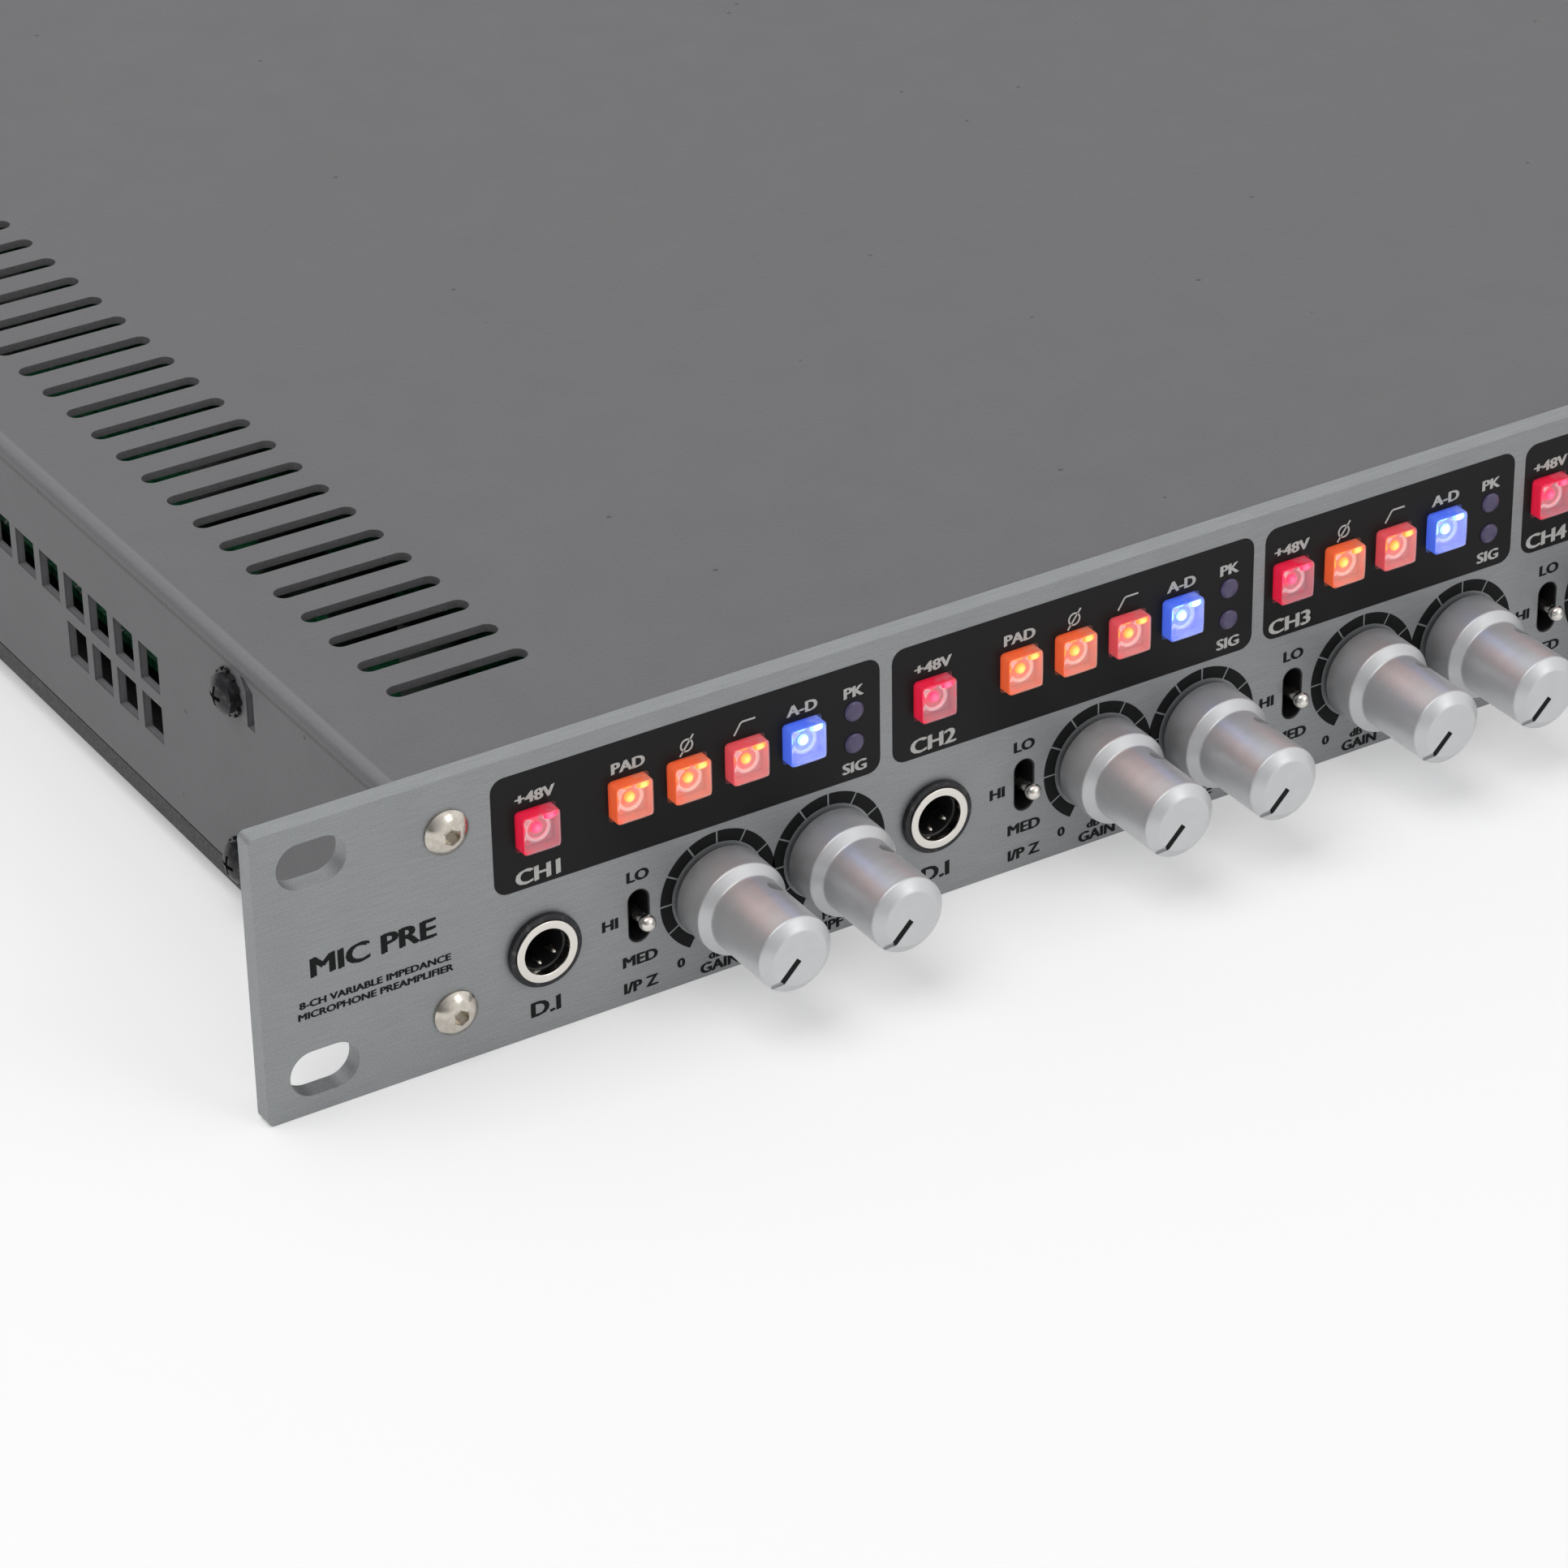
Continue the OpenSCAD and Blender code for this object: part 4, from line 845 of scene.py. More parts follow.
class PREAMP_OT_studio(bpy.types.Operator):
    """Makes the camera, the pale floor and the soft lamps"""

    bl_idname = "preamp.studio"
    bl_label = "Studio"

    def execute(self, context):
        studio = context.scene.preamp_studio
        camera = bpy.data.objects.new("camera", bpy.data.cameras.new("camera"))
        camera.location = studio.place
        camera.rotation_euler = Euler(studio.turn)
        camera.data.lens = studio.lens
        camera.data.sensor_width = 36
        camera.data.clip_end = 100
        context.scene.collection.objects.link(camera)
        context.scene.camera = camera
        context.scene.view_settings.view_transform = "Standard"
        self.add_floor(context)
        self.add_lamp(context, "key_lamp", (-0.7, 0.1, 1.5), (0.0, 0.1, 0.0), 1.3, studio.key)
        self.add_lamp(context, "fill_lamp", (0.55, -1.35, 1.1), (-0.1, 0.0, 0.0), 0.7, studio.fill)
        self.light_sky(context, studio.sky)
        return {"FINISHED"}

    def seen_directly(self, recipe):
        """1 for a ray from the camera, a reflection or through glass, and 0 for any other."""
        path = recipe.node("ShaderNodeLightPath").outputs
        either = recipe.sum(path["Is Camera Ray"], path["Is Glossy Ray"], "MAXIMUM")
        return recipe.sum(either, path["Is Transmission Ray"], "MAXIMUM")

    def add_floor(self, context):
        """A white sheet just under the panel's lower edge, brightened where it is seen."""
        half, low = 20.0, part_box("front_panel")[0][2] - 0.05 * MM
        mesh = bpy.data.meshes.new("floor")
        corners = [(x * half, y * half, low) for x, y in ((-1, -1), (1, -1), (1, 1), (-1, 1))]
        mesh.from_pydata(corners, [], [(0, 1, 2, 3)])
        floor = bpy.data.objects.new("floor", mesh)
        context.scene.collection.objects.link(floor)
        recipe = Recipe("floor", (0.82, 0.82, 0.82), 0.9, Specular_IOR_Level=0.0)
        recipe.shader.inputs["Emission Color"].default_value = (1, 1, 1, 1)
        recipe.feed("Emission Strength", recipe.sum(self.seen_directly(recipe), 0.3, "MULTIPLY"))
        mesh.materials.append(recipe.material)

    def add_lamp(self, context, name, place, towards, size, power):
        """A square lamp that faces a point."""
        data = bpy.data.lights.new(name, "AREA")
        data.size = size
        data.energy = power
        made = bpy.data.objects.new(name, data)
        made.location = place
        aim = np.asarray(towards, float) - np.asarray(place, float)
        made.rotation_euler = Euler((math.acos(-aim[2] / np.linalg.norm(aim)), 0,
                                     math.atan2(-aim[0], aim[1])))
        context.scene.collection.objects.link(made)

    def light_sky(self, context, level):
        """An even sky, white where it is seen directly, and dimmer in reflections from the left."""
        world = bpy.data.worlds.new("sky")
        world.use_nodes = True
        context.scene.world = world
        nodes, links = world.node_tree.nodes, world.node_tree.links
        background = nodes["Background"]
        background.inputs["Color"].default_value = (1, 1, 1, 1)
        path = nodes.new("ShaderNodeLightPath")
        seen = nodes.new("ShaderNodeMath")
        seen.operation = "MAXIMUM"
        links.new(path.outputs["Is Camera Ray"], seen.inputs[0])
        links.new(path.outputs["Is Transmission Ray"], seen.inputs[1])
        direction = nodes.new("ShaderNodeTexCoord")
        apart = nodes.new("ShaderNodeSeparateXYZ")
        links.new(direction.outputs["Generated"], apart.inputs[0])
        reflected = nodes.new("ShaderNodeMapRange")
        for socket, value in (("From Min", -0.75), ("From Max", 0.1), ("To Min", 0.22), ("To Max", 1.0)):
            reflected.inputs[socket].default_value = value
        links.new(apart.outputs[0], reflected.inputs["Value"])
        last = self.choose(nodes, links, path.outputs["Is Glossy Ray"], level, reflected.outputs[0])
        last = self.choose(nodes, links, seen.outputs[0], last, 1.0)
        links.new(last, background.inputs["Strength"])

    def choose(self, nodes, links, factor, no, yes):
        """One level or another, by a factor of 0 or 1."""
        mix = nodes.new("ShaderNodeMix")
        links.new(factor, mix.inputs[0])
        for socket, value in ((2, no), (3, yes)):
            if isinstance(value, float):
                mix.inputs[socket].default_value = value
            else:
                links.new(value, mix.inputs[socket])
        return mix.outputs[0]


class PREAMP_OT_casing(bpy.types.Operator):
    """Finishes the front panel, the cover, the tray and the rear panel, and lays a black strip as a painted
    shadow where the cover meets the panel
    """

    bl_idname = "preamp.casing"
    bl_label = "Casing"

    def execute(self, context):
        dress("front_panel", "anodised_panel")
        dress("top_cover", "grey_paint")
        dress("base_tray", "black_powder")
        dress("rear_panel", "black_powder")
        low, high = box("top_cover")
        edge = box("base_tray")[0][1]
        # Painted shadow: a thin black strip where the cover meets the panel.
        piece("front_shadow_strip", brick((low[0] + 2.5, edge + 0.02, high[2] - 0.5),
                                  (high[0] - 2.5, low[1] - 0.02, high[2] + 0.02)), "black_powder")
        return {"FINISHED"}


class PREAMP_OT_windows(bpy.types.Operator):
    """Prints the black windows behind the buttons"""

    bl_idname = "preamp.windows"
    bl_label = "Printed windows"

    def execute(self, context):
        sizes = context.scene.preamp_print
        lamps = lamp_places(sizes)
        for channel in CHANNELS:
            places = [x for _, _, x in buttons_of(channel)]
            self.print_window(f"window_{channel}", *window_of(channel, sizes), places, lamps, sizes)
        column, half = middle("sync_button")[0], sizes.clock_window / MM / 2
        self.print_window("window_clock", column - half, column + half, [column], lamps, sizes)
        return {"FINISHED"}

    def print_window(self, name, left, right, buttons, lamps, sizes):
        """A black field with a hole at each button and each lamp within it."""
        low, top = sizes.window_low / MM, sizes.window_top / MM
        centre = np.array([(left + right) / 2, (low + top) / 2])
        hole, lamp_r = sizes.hole / MM, 1.6
        loops = [oval(right - left, top - low, sizes.window_corner / MM) + centre]
        loops += [oval(hole, hole, 0.6) + (x, UPPER_ROW) for x in buttons]
        loops += [ring_outline(lamp_r) + (x, z) for x, z in lamps if left < x < right and z > low]
        piece(name, on_front(flat(loops), 0, 0), "window_ink")


class PREAMP_OT_dials(bpy.types.Operator):
    """Prints the black ring in ten segments round each knob"""

    bl_idname = "preamp.dials"
    bl_label = "Dials"

    def execute(self, context):
        sizes = context.scene.preamp_print
        inner, outer = sizes.dial_inner / MM, sizes.dial_outer / MM
        tick = sizes.dial_tick / MM
        starts = np.radians(np.arange(-150, 150, 30))
        for channel in CHANNELS:
            for kind in ("gain", "filter"):
                x = middle(f"{kind}_knob_{channel}")[0]
                rings = [self.segment(a, inner, outer, tick) for a in starts]
                piece(f"{kind}_dial_{channel}", on_front(flat(rings), x, LOWER_ROW), "black_ink")
        return {"FINISHED"}

    def segment(self, start, inner, outer, tick):
        """One segment, clockwise from its start: two arcs whose ends leave half a tick free."""
        share = np.linspace(0, 1, 9)
        arcs = []
        for radius in (inner, outer):
            free = tick / 2 / radius
            angle = start + free + share * (math.radians(30) - 2 * free)
            arcs.append(np.stack([np.sin(angle), np.cos(angle)], axis=-1) * radius)
        return np.vstack([arcs[0], arcs[1][::-1]])


class PREAMP_OT_lettering(bpy.types.Operator):
    """Prints the words and signs on the front"""

    bl_idname = "preamp.lettering"
    bl_label = "Front lettering"

    def execute(self, context):
        sizes = context.scene.preamp_print
        letter, title, small = sizes.letter / MM, sizes.title / MM, sizes.small / MM
        window_y = -INK - 0.01
        above = UPPER_ROW + 4.95
        white, black = [], []
        for channel in CHANNELS:
            for use, _, x in buttons_of(channel):
                white.append(on_front(self.sign(use, letter), x, above, window_y))
            first = buttons_of(channel)[0][2]
            white.append(on_front(word(f"CH{channel}", title, 1.2), first, UPPER_ROW - 7,
                                  window_y))
            lamp_x = window_of(channel, sizes)[1] - sizes.lamp_inset / MM
            white.append(on_front(word("PK", letter), lamp_x, above - 0.1, window_y))
            white.append(on_front(word("SIG", letter), lamp_x, UPPER_ROW - 6.9, window_y))
            black += self.control_words(channel, letter)
        clock = middle("sync_button")[0]
        white.append(on_front(word("CLOCK", letter * 0.8), clock, above, window_y))
        white.append(on_front(word("EXT", letter * 0.8), clock, UPPER_ROW - 5.6, window_y))
        for x in jack_places():
            black.append(on_front(word("D.I", title, 1.25), x, LOWER_ROW - 9.2))
        centre = box("front_panel")[0][0] + 16.9
        for text, z, height in (("MIC PRE", 0.2, small * 2.9), ("8-CH VARIABLE IMPEDANCE", -5.1, small),
                                ("MICROPHONE PREAMPLIFIER", -6.8, small)):
            black.append(on_front(word(text, height, 1.24), centre, z))
        piece("window_lettering", gather(white), "white_ink")
        piece("panel_lettering", gather(black), "black_ink")
        return {"FINISHED"}

    def sign(self, use, height):
        """The word or the sign over a button."""
        if use == "polarity":
            angle = np.linspace(0, TURN, 25)
            circle = np.stack([np.cos(angle), np.sin(angle)], axis=-1) * height * 0.52
            slash = np.array([[-0.62, -0.85], [0.62, 0.85]]) * height
            return strokes([circle, slash], 0.26)
        if use == "highpass":
            line = np.array([[-0.98, -0.55], [-0.36, 0.42], [-0.2, 0.5], [0.98, 0.5]]) * height
            return strokes([line], 0.26)
        return word({"phantom": "+48V", "pad": "PAD", "converter": "A-D"}[use], height)

    def control_words(self, channel, letter):
        """The words round a channel's toggle and knobs."""
        toggle = middle(f"impedance_toggle_{channel}")[0]
        gain = middle(f"gain_knob_{channel}")[0]
        tone = middle(f"filter_knob_{channel}")[0]
        foot = LOWER_ROW - 9.75
        rows = [("LO", toggle, LOWER_ROW + 6.4, 1.0), ("HI", toggle - 4.5, LOWER_ROW, 1.0),
                ("MED", toggle, LOWER_ROW - 6.75, 1.0), ("I/P Z", toggle, LOWER_ROW - 10.9, 1.0),
                ("0", gain - 6.1, foot, 0.85), ("dB", gain - 0.6, foot - 0.35, 0.75),
                ("60", gain + 5.9, foot, 0.85), ("GAIN", gain, LOWER_ROW - 11.9, 0.95),
                ("HPF", tone, LOWER_ROW - 11.9, 0.95), ("Hz", tone, foot - 0.35, 0.75)]
        return [on_front(word(text, letter * scale), x, z) for text, x, z, scale in rows]


class PREAMP_OT_knobs(bpy.types.Operator):
    """Turns the sixteen knobs, with their pointers and grub screws"""

    bl_idname = "preamp.knobs"
    bl_label = "Knobs"

    def execute(self, context):
        sizes = context.scene.preamp_knobs
        low, high = box("gain_knob_1")
        knob, paint, screw = self.master(sizes, low, high)
        for channel in CHANNELS:
            for kind in ("gain", "filter"):
                body = f"{kind}_knob_{channel}"
                x = middle(body)[0]
                shift = (x, 0, LOWER_ROW)
                piece(f"{body}_turned", (knob[0] + shift, knob[1]), "knob_aluminium",
                      body, [body], 28, (x, LOWER_ROW))
                piece(f"{kind}_pointer_{channel}", (paint[0] + shift, paint[1]), "black_ink", body)
                piece(f"{kind}_grub_screw_{channel}", (screw[0] + shift, screw[1]), "black_oxide", body)
        return {"FINISHED"}

    def master(self, sizes, low, high):
        """The knob, its pointer's paint and its grub screw, about the axis, at the lowest setting."""
        front, skirt_r = low[1], (high[0] - low[0]) / 2
        back = -0.8
        cone, barrel, face = sizes.cone / MM, sizes.barrel / MM, sizes.face / MM
        skirt, edge, shaft = sizes.skirt / MM, sizes.edge / MM, sizes.shaft / MM
        profile = soften([(shaft, back), (skirt_r, back), (skirt_r, back - skirt),
                          (barrel, back - skirt - cone), (barrel, front + cone), (face, front),
                          (0.02, front)], edge)
        body = turned(profile, 0, 0, 128)
        rod = turned([(shaft - 0.05, back + 0.3), (shaft - 0.05, high[1])], 0, 0, 32)
        groove = sizes.groove / MM
        slot = self.turn_about_y(brick((-groove / 2, front - 1, 0.2), (groove / 2, front + 0.25, face + 1)),
                                 POINTER_AT)
        chamfer_slot = self.turn_about_y(self.slanted(groove, front, face, barrel, cone), POINTER_AT)
        side = math.radians(27)
        hole_y, hole_r = -10.75, 1.15
        hole = self.turn_about_y(self.post(hole_y, hole_r, shaft + 0.4, barrel + 1), side)
        knob = carve(body, [slot, chamfer_slot, hole])
        paint = self.turn_about_y(brick((-groove / 2 + 0.01, front + 0.1, 0.21),
                                        (groove / 2 - 0.01, front + 0.249, face - 0.05)), POINTER_AT)
        hexagon = self.post(hole_y, 0.6, barrel - 1.5, barrel, 6)
        screw = carve(self.post(hole_y, 1.08, shaft, barrel - 0.75), [hexagon])
        return gather([knob, rod]), paint, self.turn_about_y(screw, side)

    def slanted(self, groove, front, face, barrel, cone):
        """A cutter that runs the groove on, down the chamfer, at the same depth."""
        depth = 0.2
        sides = (-groove / 2, groove / 2, groove / 2, -groove / 2)
        lean = np.array([barrel - face, cone])
        lean /= np.linalg.norm(lean)
        inner = np.array([face - 0.25, front]) + depth * np.array([-lean[1], lean[0]])
        outer = inner + lean * (math.hypot(barrel - face, cone) + 0.6)
        rise = 2 * np.array([lean[1], -lean[0]])
        return loft([[(side, end[1], end[0]) for side, end in zip(sides, (at, at, at + rise, at + rise))]
                     for at in (inner, outer)])

    def post(self, y, radius, low, high, sides=32):
        """A rod that stands up along Z at that Y."""
        angle = np.arange(sides) * TURN / sides
        rows = [np.stack([radius * np.cos(angle), y + radius * np.sin(angle), 0 * angle + z], axis=-1)
                for z in (low, high)]
        return loft(rows)

    def turn_about_y(self, shape, angle):
        """Turns a shape clockwise about the Y axis, as seen from the front."""
        c, s = math.cos(angle), math.sin(angle)
        return shape[0] @ np.array([[c, 0, -s], [0, 1, 0], [s, 0, c]]), shape[1]


class PREAMP_OT_buttons(bpy.types.Operator):
    """Makes the clear button caps and the lit lamps in them"""

    bl_idname = "preamp.buttons"
    bl_label = "Lit buttons"

    def execute(self, context):
        groups = {}
        for channel in CHANNELS:
            for use, body, x in buttons_of(channel):
                groups.setdefault(body, []).append((LENS_OF[use], x))
        groups["sync_button"] = [(LENS_OF["sync"], middle("sync_button")[0])]
        for body, caps in groups.items():
            self.add_group(body, caps)
        return {"FINISHED"}

    def add_group(self, body, caps):
        """One body's caps; the node itself is hidden."""
        back = box(body)[1][1]
        first = None
        for number, (colour, x) in enumerate(caps, 1):
            name, centre = f"{body}_{number}_{colour}", (x, UPPER_ROW)
            cap = piece(f"{name}_cap", self.cap(x), f"{colour}_lens", body)
            piece(f"{name}_body", gather([self.frame(x), self.plate(x)]), f"{colour}_body", body,
                  middle_at=centre)
            piece(f"{name}_ring", self.ring(x), f"{colour}_ring", body)
            piece(f"{name}_lamp", self.dome(x), f"{colour}_lamp", body, middle_at=centre)
            # Painted light: a glowing bead at the cap's upper right corner stands for the lamp's light seen
            # through the cap's top edge, and is no lamp of its own.
            corner = (x + 1.45, UPPER_ROW + 2.02)
            piece(f"{name}_corner", bead((corner[0], CAP_FRONT + 0.95, corner[1]), (1.0, 0.55, 0.44)),
                  f"{colour}_lamp", body, middle_at=corner)
            piece(f"{name}_plunger", self.plunger(x, back), "black_plastic", body)
            first = first or cap
        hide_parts(body)

    def cap(self, x):
        """A clear block with round corners and softened front edges."""
        edge = 0.38
        t = np.linspace(0, math.pi / 2, 6)
        front = [(CAP_FRONT + edge * (1 - math.sin(a)), edge * (1 - math.cos(a))) for a in t]
        stations = [(CAP_BACK, 0.0), *front]
        return ladder(oval(CAP_SIDE, CAP_SIDE, 0.55), stations, x, UPPER_ROW)

    def frame(self, x):
        """A thin square tube just inside the cap, open at the front."""
        outer, inner = CAP_SIDE - 0.36, CAP_SIDE - 0.62
        front, back = CAP_FRONT + 0.42, CAP_BACK - 0.3
        rows = [stand(oval(side, side, 0.45), x, y, UPPER_ROW)
                for y, side in ((front, inner), (front, outer), (back, outer), (back, inner))]
        return loft(rows, around=True)

    def plate(self, x):
        """The plate at the foot of the tube, dished round its lamp."""
        side, y = CAP_SIDE - 0.64, LAMP_DEPTH
        stations = [(CAP_BACK - 0.4, 0.0), (y + 0.15, 0.0), (y, 0.25), (y + 0.02, 0.5), (y + 0.22, 0.8),
                    (y + 0.26, 2.3)]
        return ladder(oval(side, side, 0.44), stations, x, UPPER_ROW)

    def ring(self, x):
        """A moulded ring of round section, 4 mm wide over all, in front of the plate."""
        reach, half_wide, half_deep = 1.72, 0.28, 0.42
        t = np.arange(12) * TURN / 12
        section = np.stack([reach + half_wide * np.cos(t), LAMP_DEPTH - 0.22 + half_deep * np.sin(t)],
                           axis=-1)
        return turned(section, x, UPPER_ROW, 48, around=True)

    def dome(self, x):
        """The lamp's dome, in the middle of the ring."""
        radius, height, foot = 0.78, 0.85, LAMP_DEPTH + 0.24
        p = np.linspace(0.02, math.pi / 2, 8)
        profile = np.stack([radius * np.sin(p), foot - 0.14 - height * np.cos(p)], axis=-1)
        return turned(np.vstack([profile, [(radius, foot), (0.02, foot)]]), x, UPPER_ROW, 32)

    def plunger(self, x, back):
        """The rod behind the cap."""
        radius, front = 1.5, CAP_BACK + 0.02
        profile = soften([(0.02, front), (radius, front), (radius, back), (0.02, back)], 0.2)
        return turned(profile, x, UPPER_ROW, 24)


class PREAMP_OT_toggles(bpy.types.Operator):
    """Makes the toggle levers and lines their slots"""

    bl_idname = "preamp.toggles"
    bl_label = "Toggles"

    def execute(self, context):
        for channel in CHANNELS:
            body = f"impedance_toggle_{channel}"
            low, high = box(body)
            x, pivot = middle(body)[0], high[1] - 1.7
            lever = gather([self.lever(x, low[1], pivot), self.pin(x, pivot, high[0] - low[0])])
            piece(f"toggle_lever_{channel}", lever, "bright_nickel", body, [body], 40)
            piece(f"toggle_slot_{channel}", self.liner(x), "black_plastic")
        return {"FINISHED"}

    def lever(self, x, front, pivot):
        """The turned lever: a round tip, a stem that widens inwards, and a ball about the pivot."""
        tip_r = 1.2
        ball = front + tip_r
        p = np.linspace(0.01, math.radians(142), 14)
        tip = np.stack([tip_r * np.sin(p), ball - tip_r * np.cos(p)], axis=-1)
        stem = np.array([(0.8, ball + 1.3), (1.15, pivot - 1.2), (1.6, pivot - 0.4), (1.6, pivot + 0.5),
                         (0.9, pivot + 1.4), (0.02, pivot + 1.65)])
        return turned(np.vstack([tip, stem]), x, LOWER_ROW, 40)

    def pin(self, x, pivot, wide):
        """The cross pin that the lever turns on, along X."""
        radius, half = 0.6, wide / 2
        profile = soften([(0.02, -half), (radius, -half), (radius, half), (0.02, half)], 0.12)
        points, faces = turned(profile, 0, 0, 20)
        return points[:, [1, 0, 2]] + (x, pivot, LOWER_ROW), faces

    def liner(self, x):
        """A thin black sleeve in the slot."""
        stations = ((0.02, 3.44, 8.34), (2.98, 3.44, 8.34), (2.98, 3.04, 7.94), (0.12, 3.04, 7.94),
                    (0.02, 3.2, 8.1))
        rows = [stand(oval(wide, high, wide / 2 - 0.01, 9), x, y, LOWER_ROW)
                for y, wide, high in stations]
        return loft(rows, around=True)


class PREAMP_OT_jacks(bpy.types.Operator):
    """Makes the instrument jacks: bush, ring nut, black liner, springs and bored body"""

    bl_idname = "preamp.jacks"
    bl_label = "Instrument jacks"

    def execute(self, context):
        low, high = box("di_jacks")
        nut_low, nut_high = box("di_jack_nuts")
        nut_r = (nut_high[2] - nut_low[2]) / 2
        places = jack_places()
        bushes = [self.bush(x, low[1], nut_low[1]) for x in places]
        springs = [self.spring(x, math.radians(degrees)) for x in places for degrees in (35, 130, 180, 285)]
        piece("jack_bushes", gather(bushes), "bright_nickel", replaces=["di_jacks"])
        piece("jack_liners", gather([self.liner(x) for x in places]), "black_plastic")
        piece("jack_springs", gather(springs), "bright_nickel")
        piece("jack_bodies", gather([self.body(x, low, high) for x in places]), "black_plastic")
        piece("jack_ring_nuts", gather([self.nut(x, nut_low[1], nut_r) for x in places]), "black_oxide",
              replaces=["di_jack_nuts"])
        return {"FINISHED"}

    def bush(self, x, front, nut_front):
        """The threaded bush: a lip in front of the nut, and a wider bore behind the mouth."""
        lip_r, mouth_r, bore_r, back = BUSH_R + 0.25, 3.45, 3.8, 4.3
        section = soften([(BUSH_R, back), (BUSH_R, nut_front - 0.02), (lip_r, nut_front - 0.03),
                          (lip_r, front), (mouth_r, front), (mouth_r, 3.0), (bore_r, 3.2),
                          (bore_r, back), (BUSH_R, back)], 0.2)
        return turned(section[:-1], x, LOWER_ROW, 96, around=True)

    def liner(self, x):
        """The black sleeve that the plug goes into, narrower at its far end."""
        section = [(3.44, 0.3), (3.44, 26.0), (2.6, 26.0), (2.6, 20.0), (3.25, 19.0), (3.25, 0.5)]
        return turned(section, x, LOWER_ROW, 64, around=True)

    def nut(self, x, front, nut_r):
        """The black ring nut round the bush."""
        inner = BUSH_R + 0.06
        section = soften([(inner, 0.0), (nut_r, 0.0), (nut_r, front), (inner, front), (inner, 0.0)], 0.2)
        return turned(section[:-1], x, LOWER_ROW, 96, around=True)

    def spring(self, x, angle):
        """The end of a contact spring, seen in the mouth."""
        reach, depth = 3.0, 2.6
        centre = (x + reach * math.sin(angle), depth, LOWER_ROW + reach * math.cos(angle))
        return bead(centre, (0.6, 1.7, 0.6))

    def body(self, x, low, high):
        """The jack's square body, bored for its liner."""
        block = brick((x - 7.5, 4.4, low[2]), (x + 7.5, high[1], high[2]))
        return carve(block, [turned([(3.46, 0.0), (3.46, 26.1)], x, LOWER_ROW, 48)])


class PREAMP_OT_indicators(bpy.types.Operator):
    """Puts a violet lens on each indicator lamp"""

    bl_idname = "preamp.indicators"
    bl_label = "Indicator lamps"

    def execute(self, context):
        dress("indicator_leds", "violet_lens")
        front = box("indicator_leds")[0][1]
        dome = soften([(1.52, 1.0), (1.52, front), (1.1, front - 0.28), (0.02, front - 0.36)], 0.3)
        lenses = [turned(dome, x, z, 32) for x, z in lamp_places(context.scene.preamp_print)]
        piece("indicator_lenses", gather(lenses), "violet_lens")
        return {"FINISHED"}


class PREAMP_OT_fasteners(bpy.types.Operator):
    """Makes the panel's button head screws and blackens the others"""

    bl_idname = "preamp.fasteners"
    bl_label = "Fasteners"

    def execute(self, context):
        low, high = box("panel_screws")
        head_r = 3.3
        places = [(x, z) for x in (low[0] + head_r, high[0] - head_r)
                  for z in (low[2] + head_r, high[2] - head_r)]
        screws = [self.button_head(x, z, head_r, low[1], high[1]) for x, z in places]
        piece("panel_button_screws", gather(screws), "stainless",
              replaces=["panel_screws"], crease=30)
        dress("case_screws", "black_oxide")
        return {"FINISHED"}

    def button_head(self, x, z, head_r, front, tip):
        """A domed head with a hexagon socket, and its shank.

        The dome falls away from its middle as the radius to the power 2.6, and its inner loops blend
        from the hexagon into circles."""
        sides = 96
        angle = np.arange(sides) * TURN / sides
        hexagon = 1.2 * math.cos(math.pi / 6) / np.cos((angle % (TURN / 6)) - math.pi / 6)
        rim, flat_top = 1.32, front + 0.12
        rows = [(hexagon, flat_top + 1.25), (hexagon, flat_top + 0.02)]
        for share in np.linspace(0, 1, 14):
            blend = min(1, share * 4)
            reach = rim + share * (head_r - rim)
            radius = (1 - blend) * (hexagon + share * 1.5) + blend * reach
            rows.append((radius, front - flat_top * 0.86 * (reach / head_r) ** 2.6 * (share > 0)))
        rows += [(head_r + 0 * angle, -0.02), (1.5 + 0 * angle, 0.0), (1.5 + 0 * angle, tip)]
        return loft([stand(np.stack([np.sin(angle), np.cos(angle)], axis=-1) * np.reshape(r, (-1, 1)),
                           x, y, z) for r, y in rows])


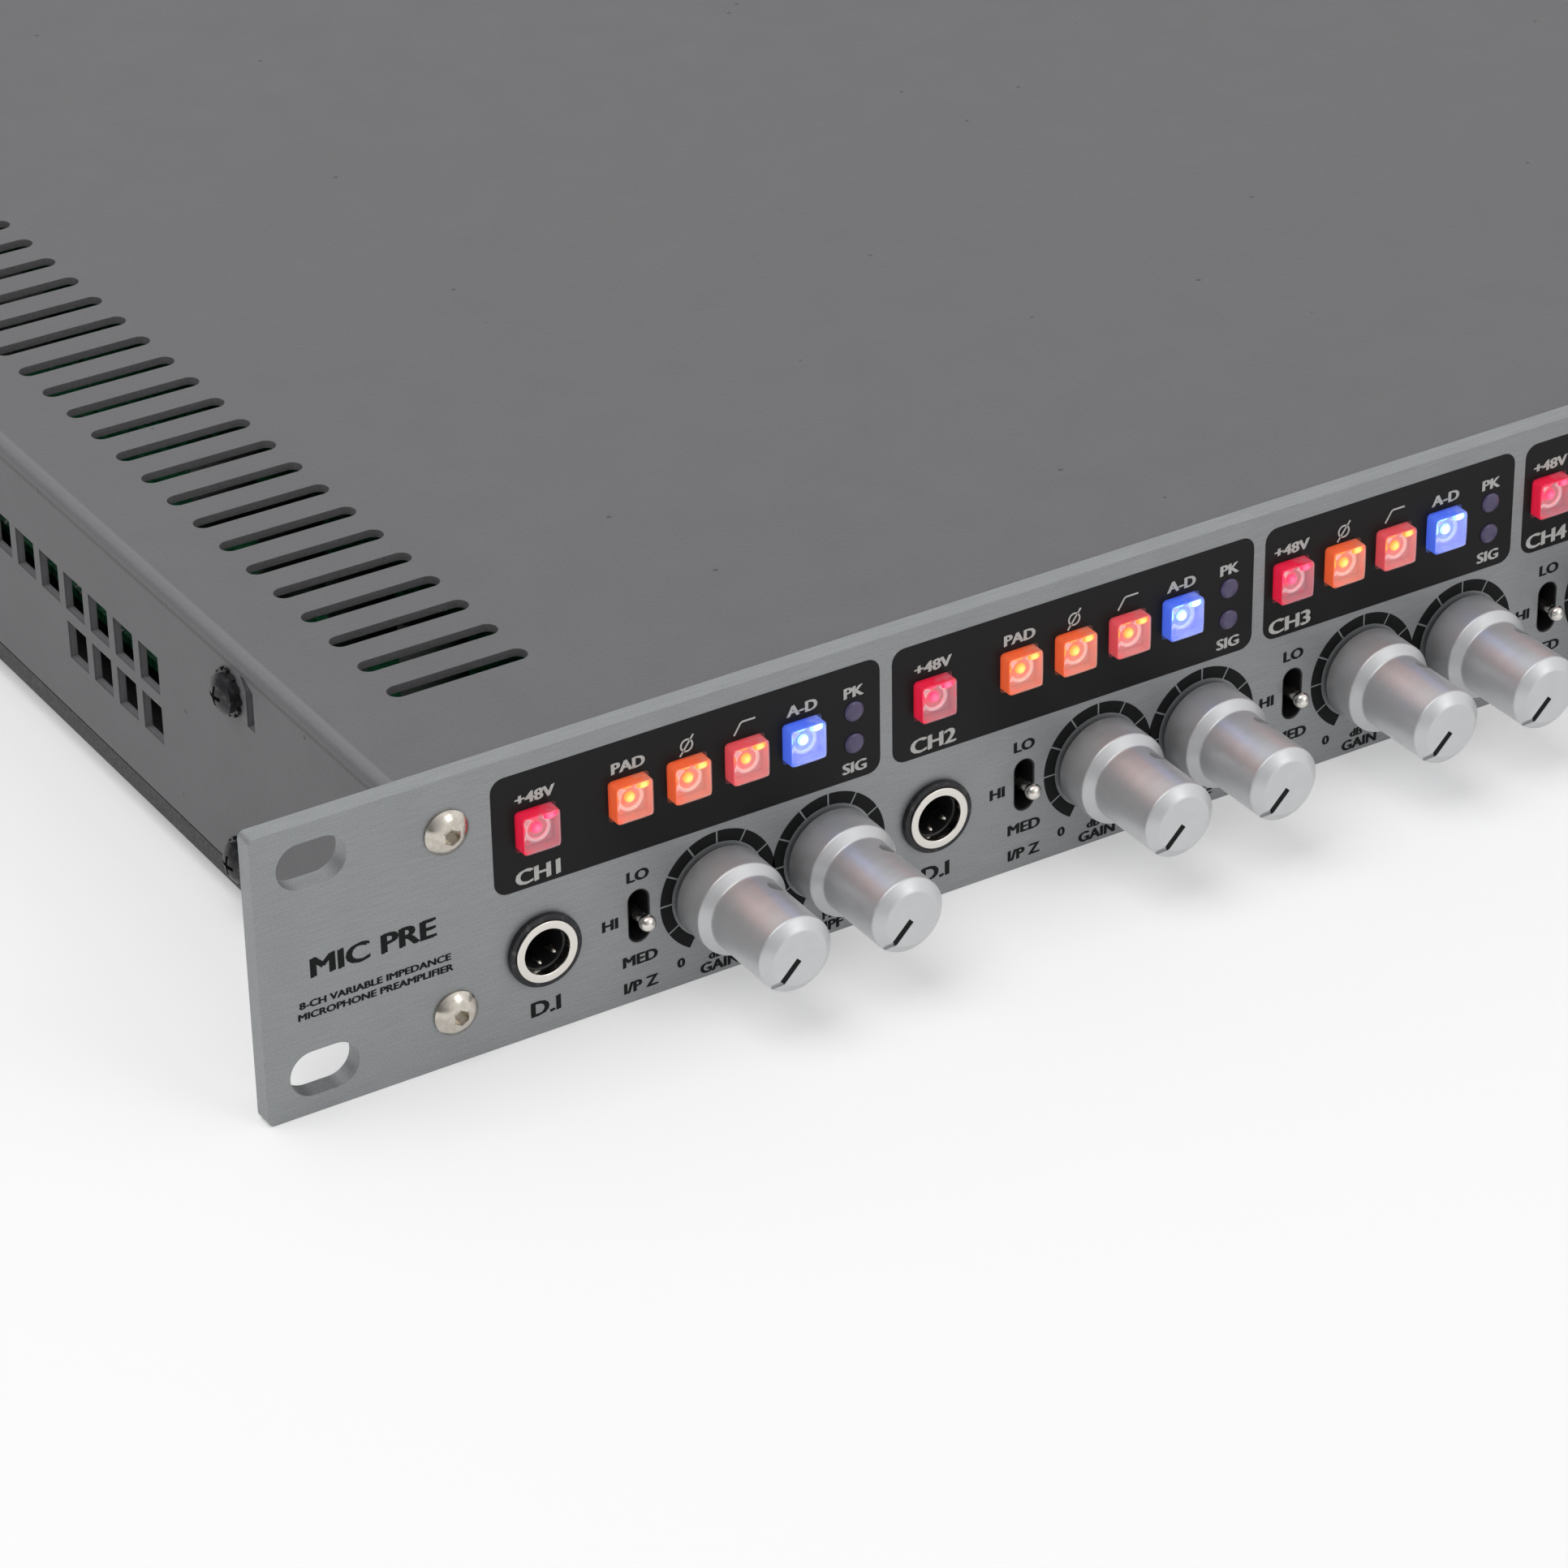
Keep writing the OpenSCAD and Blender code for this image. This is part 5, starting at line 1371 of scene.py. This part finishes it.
class PREAMP_OT_rear(bpy.types.Operator):
    """Finishes the rear sockets and adds their contacts and their lettering"""

    bl_idname = "preamp.rear"
    bl_label = "Rear sockets"

    def execute(self, context):
        dress("mic_sockets", "dark_zinc")
        dress("mic_socket_cores", "black_plastic")
        dress("d_sub_sockets", "tinned_steel")
        dress("clock_sockets", "bright_nickel")
        for node in ("optical_sockets", "mains_inlet", "fuse_drawer", "power_rocker"):
            dress(node, "black_plastic")
        back = box("base_tray")[1][1]
        self.add_mic_contacts(back)
        self.add_d_sub_faces()
        self.add_words(back)
        return {"FINISHED"}

    def add_mic_contacts(self, back):
        """Gold sleeves in the three holes of each microphone socket."""
        sleeves = []
        profile = [(1.24, back - 9.5), (1.24, back - 0.7), (0.95, back - 0.7), (0.95, back - 9.5)]
        for channel in CHANNELS:
            x, _, z = mount(f"mic_socket_{channel}")
            for degrees in (90, 210, 330):
                a = math.radians(degrees)
                sleeves.append(turned(profile, x + 4.1 * math.cos(a), z - 4.1 * math.sin(a), 24, True))
        piece("mic_contacts", gather(sleeves), "gold_plate")

    def add_d_sub_faces(self):
        """A black face with 25 gold contacts, 13 over 12, in each D shell."""
        faces, contacts = [], []
        for name in ("line_output_socket", "insert_socket", "digital_output_socket"):
            x, y, z = mount(name)
            face = flat([np.array([(-18.6, 3.5), (-17.6, -3.5), (17.6, -3.5), (18.6, 3.5)])])
            faces.append(on_back(face, x, z, y - 0.36))
            for count, row in ((13, 1.42), (12, -1.42)):
                for place in (np.arange(count) - (count - 1) / 2) * 2.77:
                    pin = [(0.55, y - 0.31), (0.55, y - 0.24), (0.25, y - 0.24), (0.25, y - 0.31)]
                    contacts.append(turned(pin, x + place, z + row, 12, True))
        piece("d_sub_faces", gather(faces), "black_plastic")
        piece("d_sub_contacts", gather(contacts), "gold_plate")

    def add_words(self, back):
        """The words on the rear panel."""
        top, gap, foot = 17.7, 0.8, -16.1
        rows = [(f"MIC {c}", mount(f"mic_socket_{c}")[0], top) for c in CHANNELS]
        rows += [(text, mount(name)[0], z) for text, name, z in (
            ("INSERT 1-8", "insert_socket", top), ("LINE OUTPUT 1-8", "line_output_socket", gap),
            ("DIGITAL OUTPUT", "digital_output_socket", top),
            ("OPTICAL 1-4   OPTICAL 5-8", "digital_output_socket", gap),
            ("CLOCK OUT", "clock_out", top), ("CLOCK IN", "clock_in", foot))]
        rows += [("MAINS 100-240 V  50-60 Hz  30 W", middle("mains_inlet")[0], top)]
        words = [on_back(word(text, 1.35, 1.1), x, z, back + 0.01) for text, x, z in rows]
        piece("rear_lettering", gather(words), "white_ink")


class PREAMP_OT_inside(bpy.types.Operator):
    """Finishes the boards, the transformer and the parts behind the panel"""

    bl_idname = "preamp.inside"
    bl_label = "Inside"

    def execute(self, context):
        for node in ("main_board", "control_board", "power_supply"):
            dress(node, node)
        dress("mains_transformer", "transformer_wrap")
        dress("potentiometers", "pot_body")
        dress("switch_housings", "black_plastic")
        return {"FINISHED"}


OPERATORS = (PREAMP_OT_studio, PREAMP_OT_casing, PREAMP_OT_windows, PREAMP_OT_dials,
             PREAMP_OT_lettering, PREAMP_OT_knobs, PREAMP_OT_buttons, PREAMP_OT_toggles,
             PREAMP_OT_jacks, PREAMP_OT_indicators, PREAMP_OT_fasteners, PREAMP_OT_rear,
             PREAMP_OT_inside)


class PREAMP_PT_sidebar(bpy.types.Panel):
    """Lists the preamplifier's pieces"""

    bl_label = "Preamp"
    bl_idname = "PREAMP_PT_sidebar"
    bl_space_type = "VIEW_3D"
    bl_region_type = "UI"
    bl_category = "Preamp"

    def draw(self, context):
        for operator in OPERATORS:
            self.layout.operator(operator.bl_idname)


GROUPS = {"preamp_print": PrintSizes, "preamp_knobs": KnobSizes, "preamp_colours": Colours,
          "preamp_studio": Studio}
CLASSES = (*GROUPS.values(), *OPERATORS, PREAMP_PT_sidebar)


def register():
    """Registers the classes and hangs the settings on the scene."""
    for item in CLASSES:
        bpy.utils.register_class(item)
    for name, group in GROUPS.items():
        setattr(bpy.types.Scene, name, PointerProperty(type=group))


def unregister():
    """Takes the settings and the classes away again."""
    for name in GROUPS:
        delattr(bpy.types.Scene, name)
    for item in reversed(CLASSES):
        bpy.utils.unregister_class(item)


def main():
    """Registers the add-on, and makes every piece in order."""
    register()
    for operator in OPERATORS:
        group, name = operator.bl_idname.split(".")
        getattr(getattr(bpy.ops, group), name)()


if __name__ == "__main__":
    main()
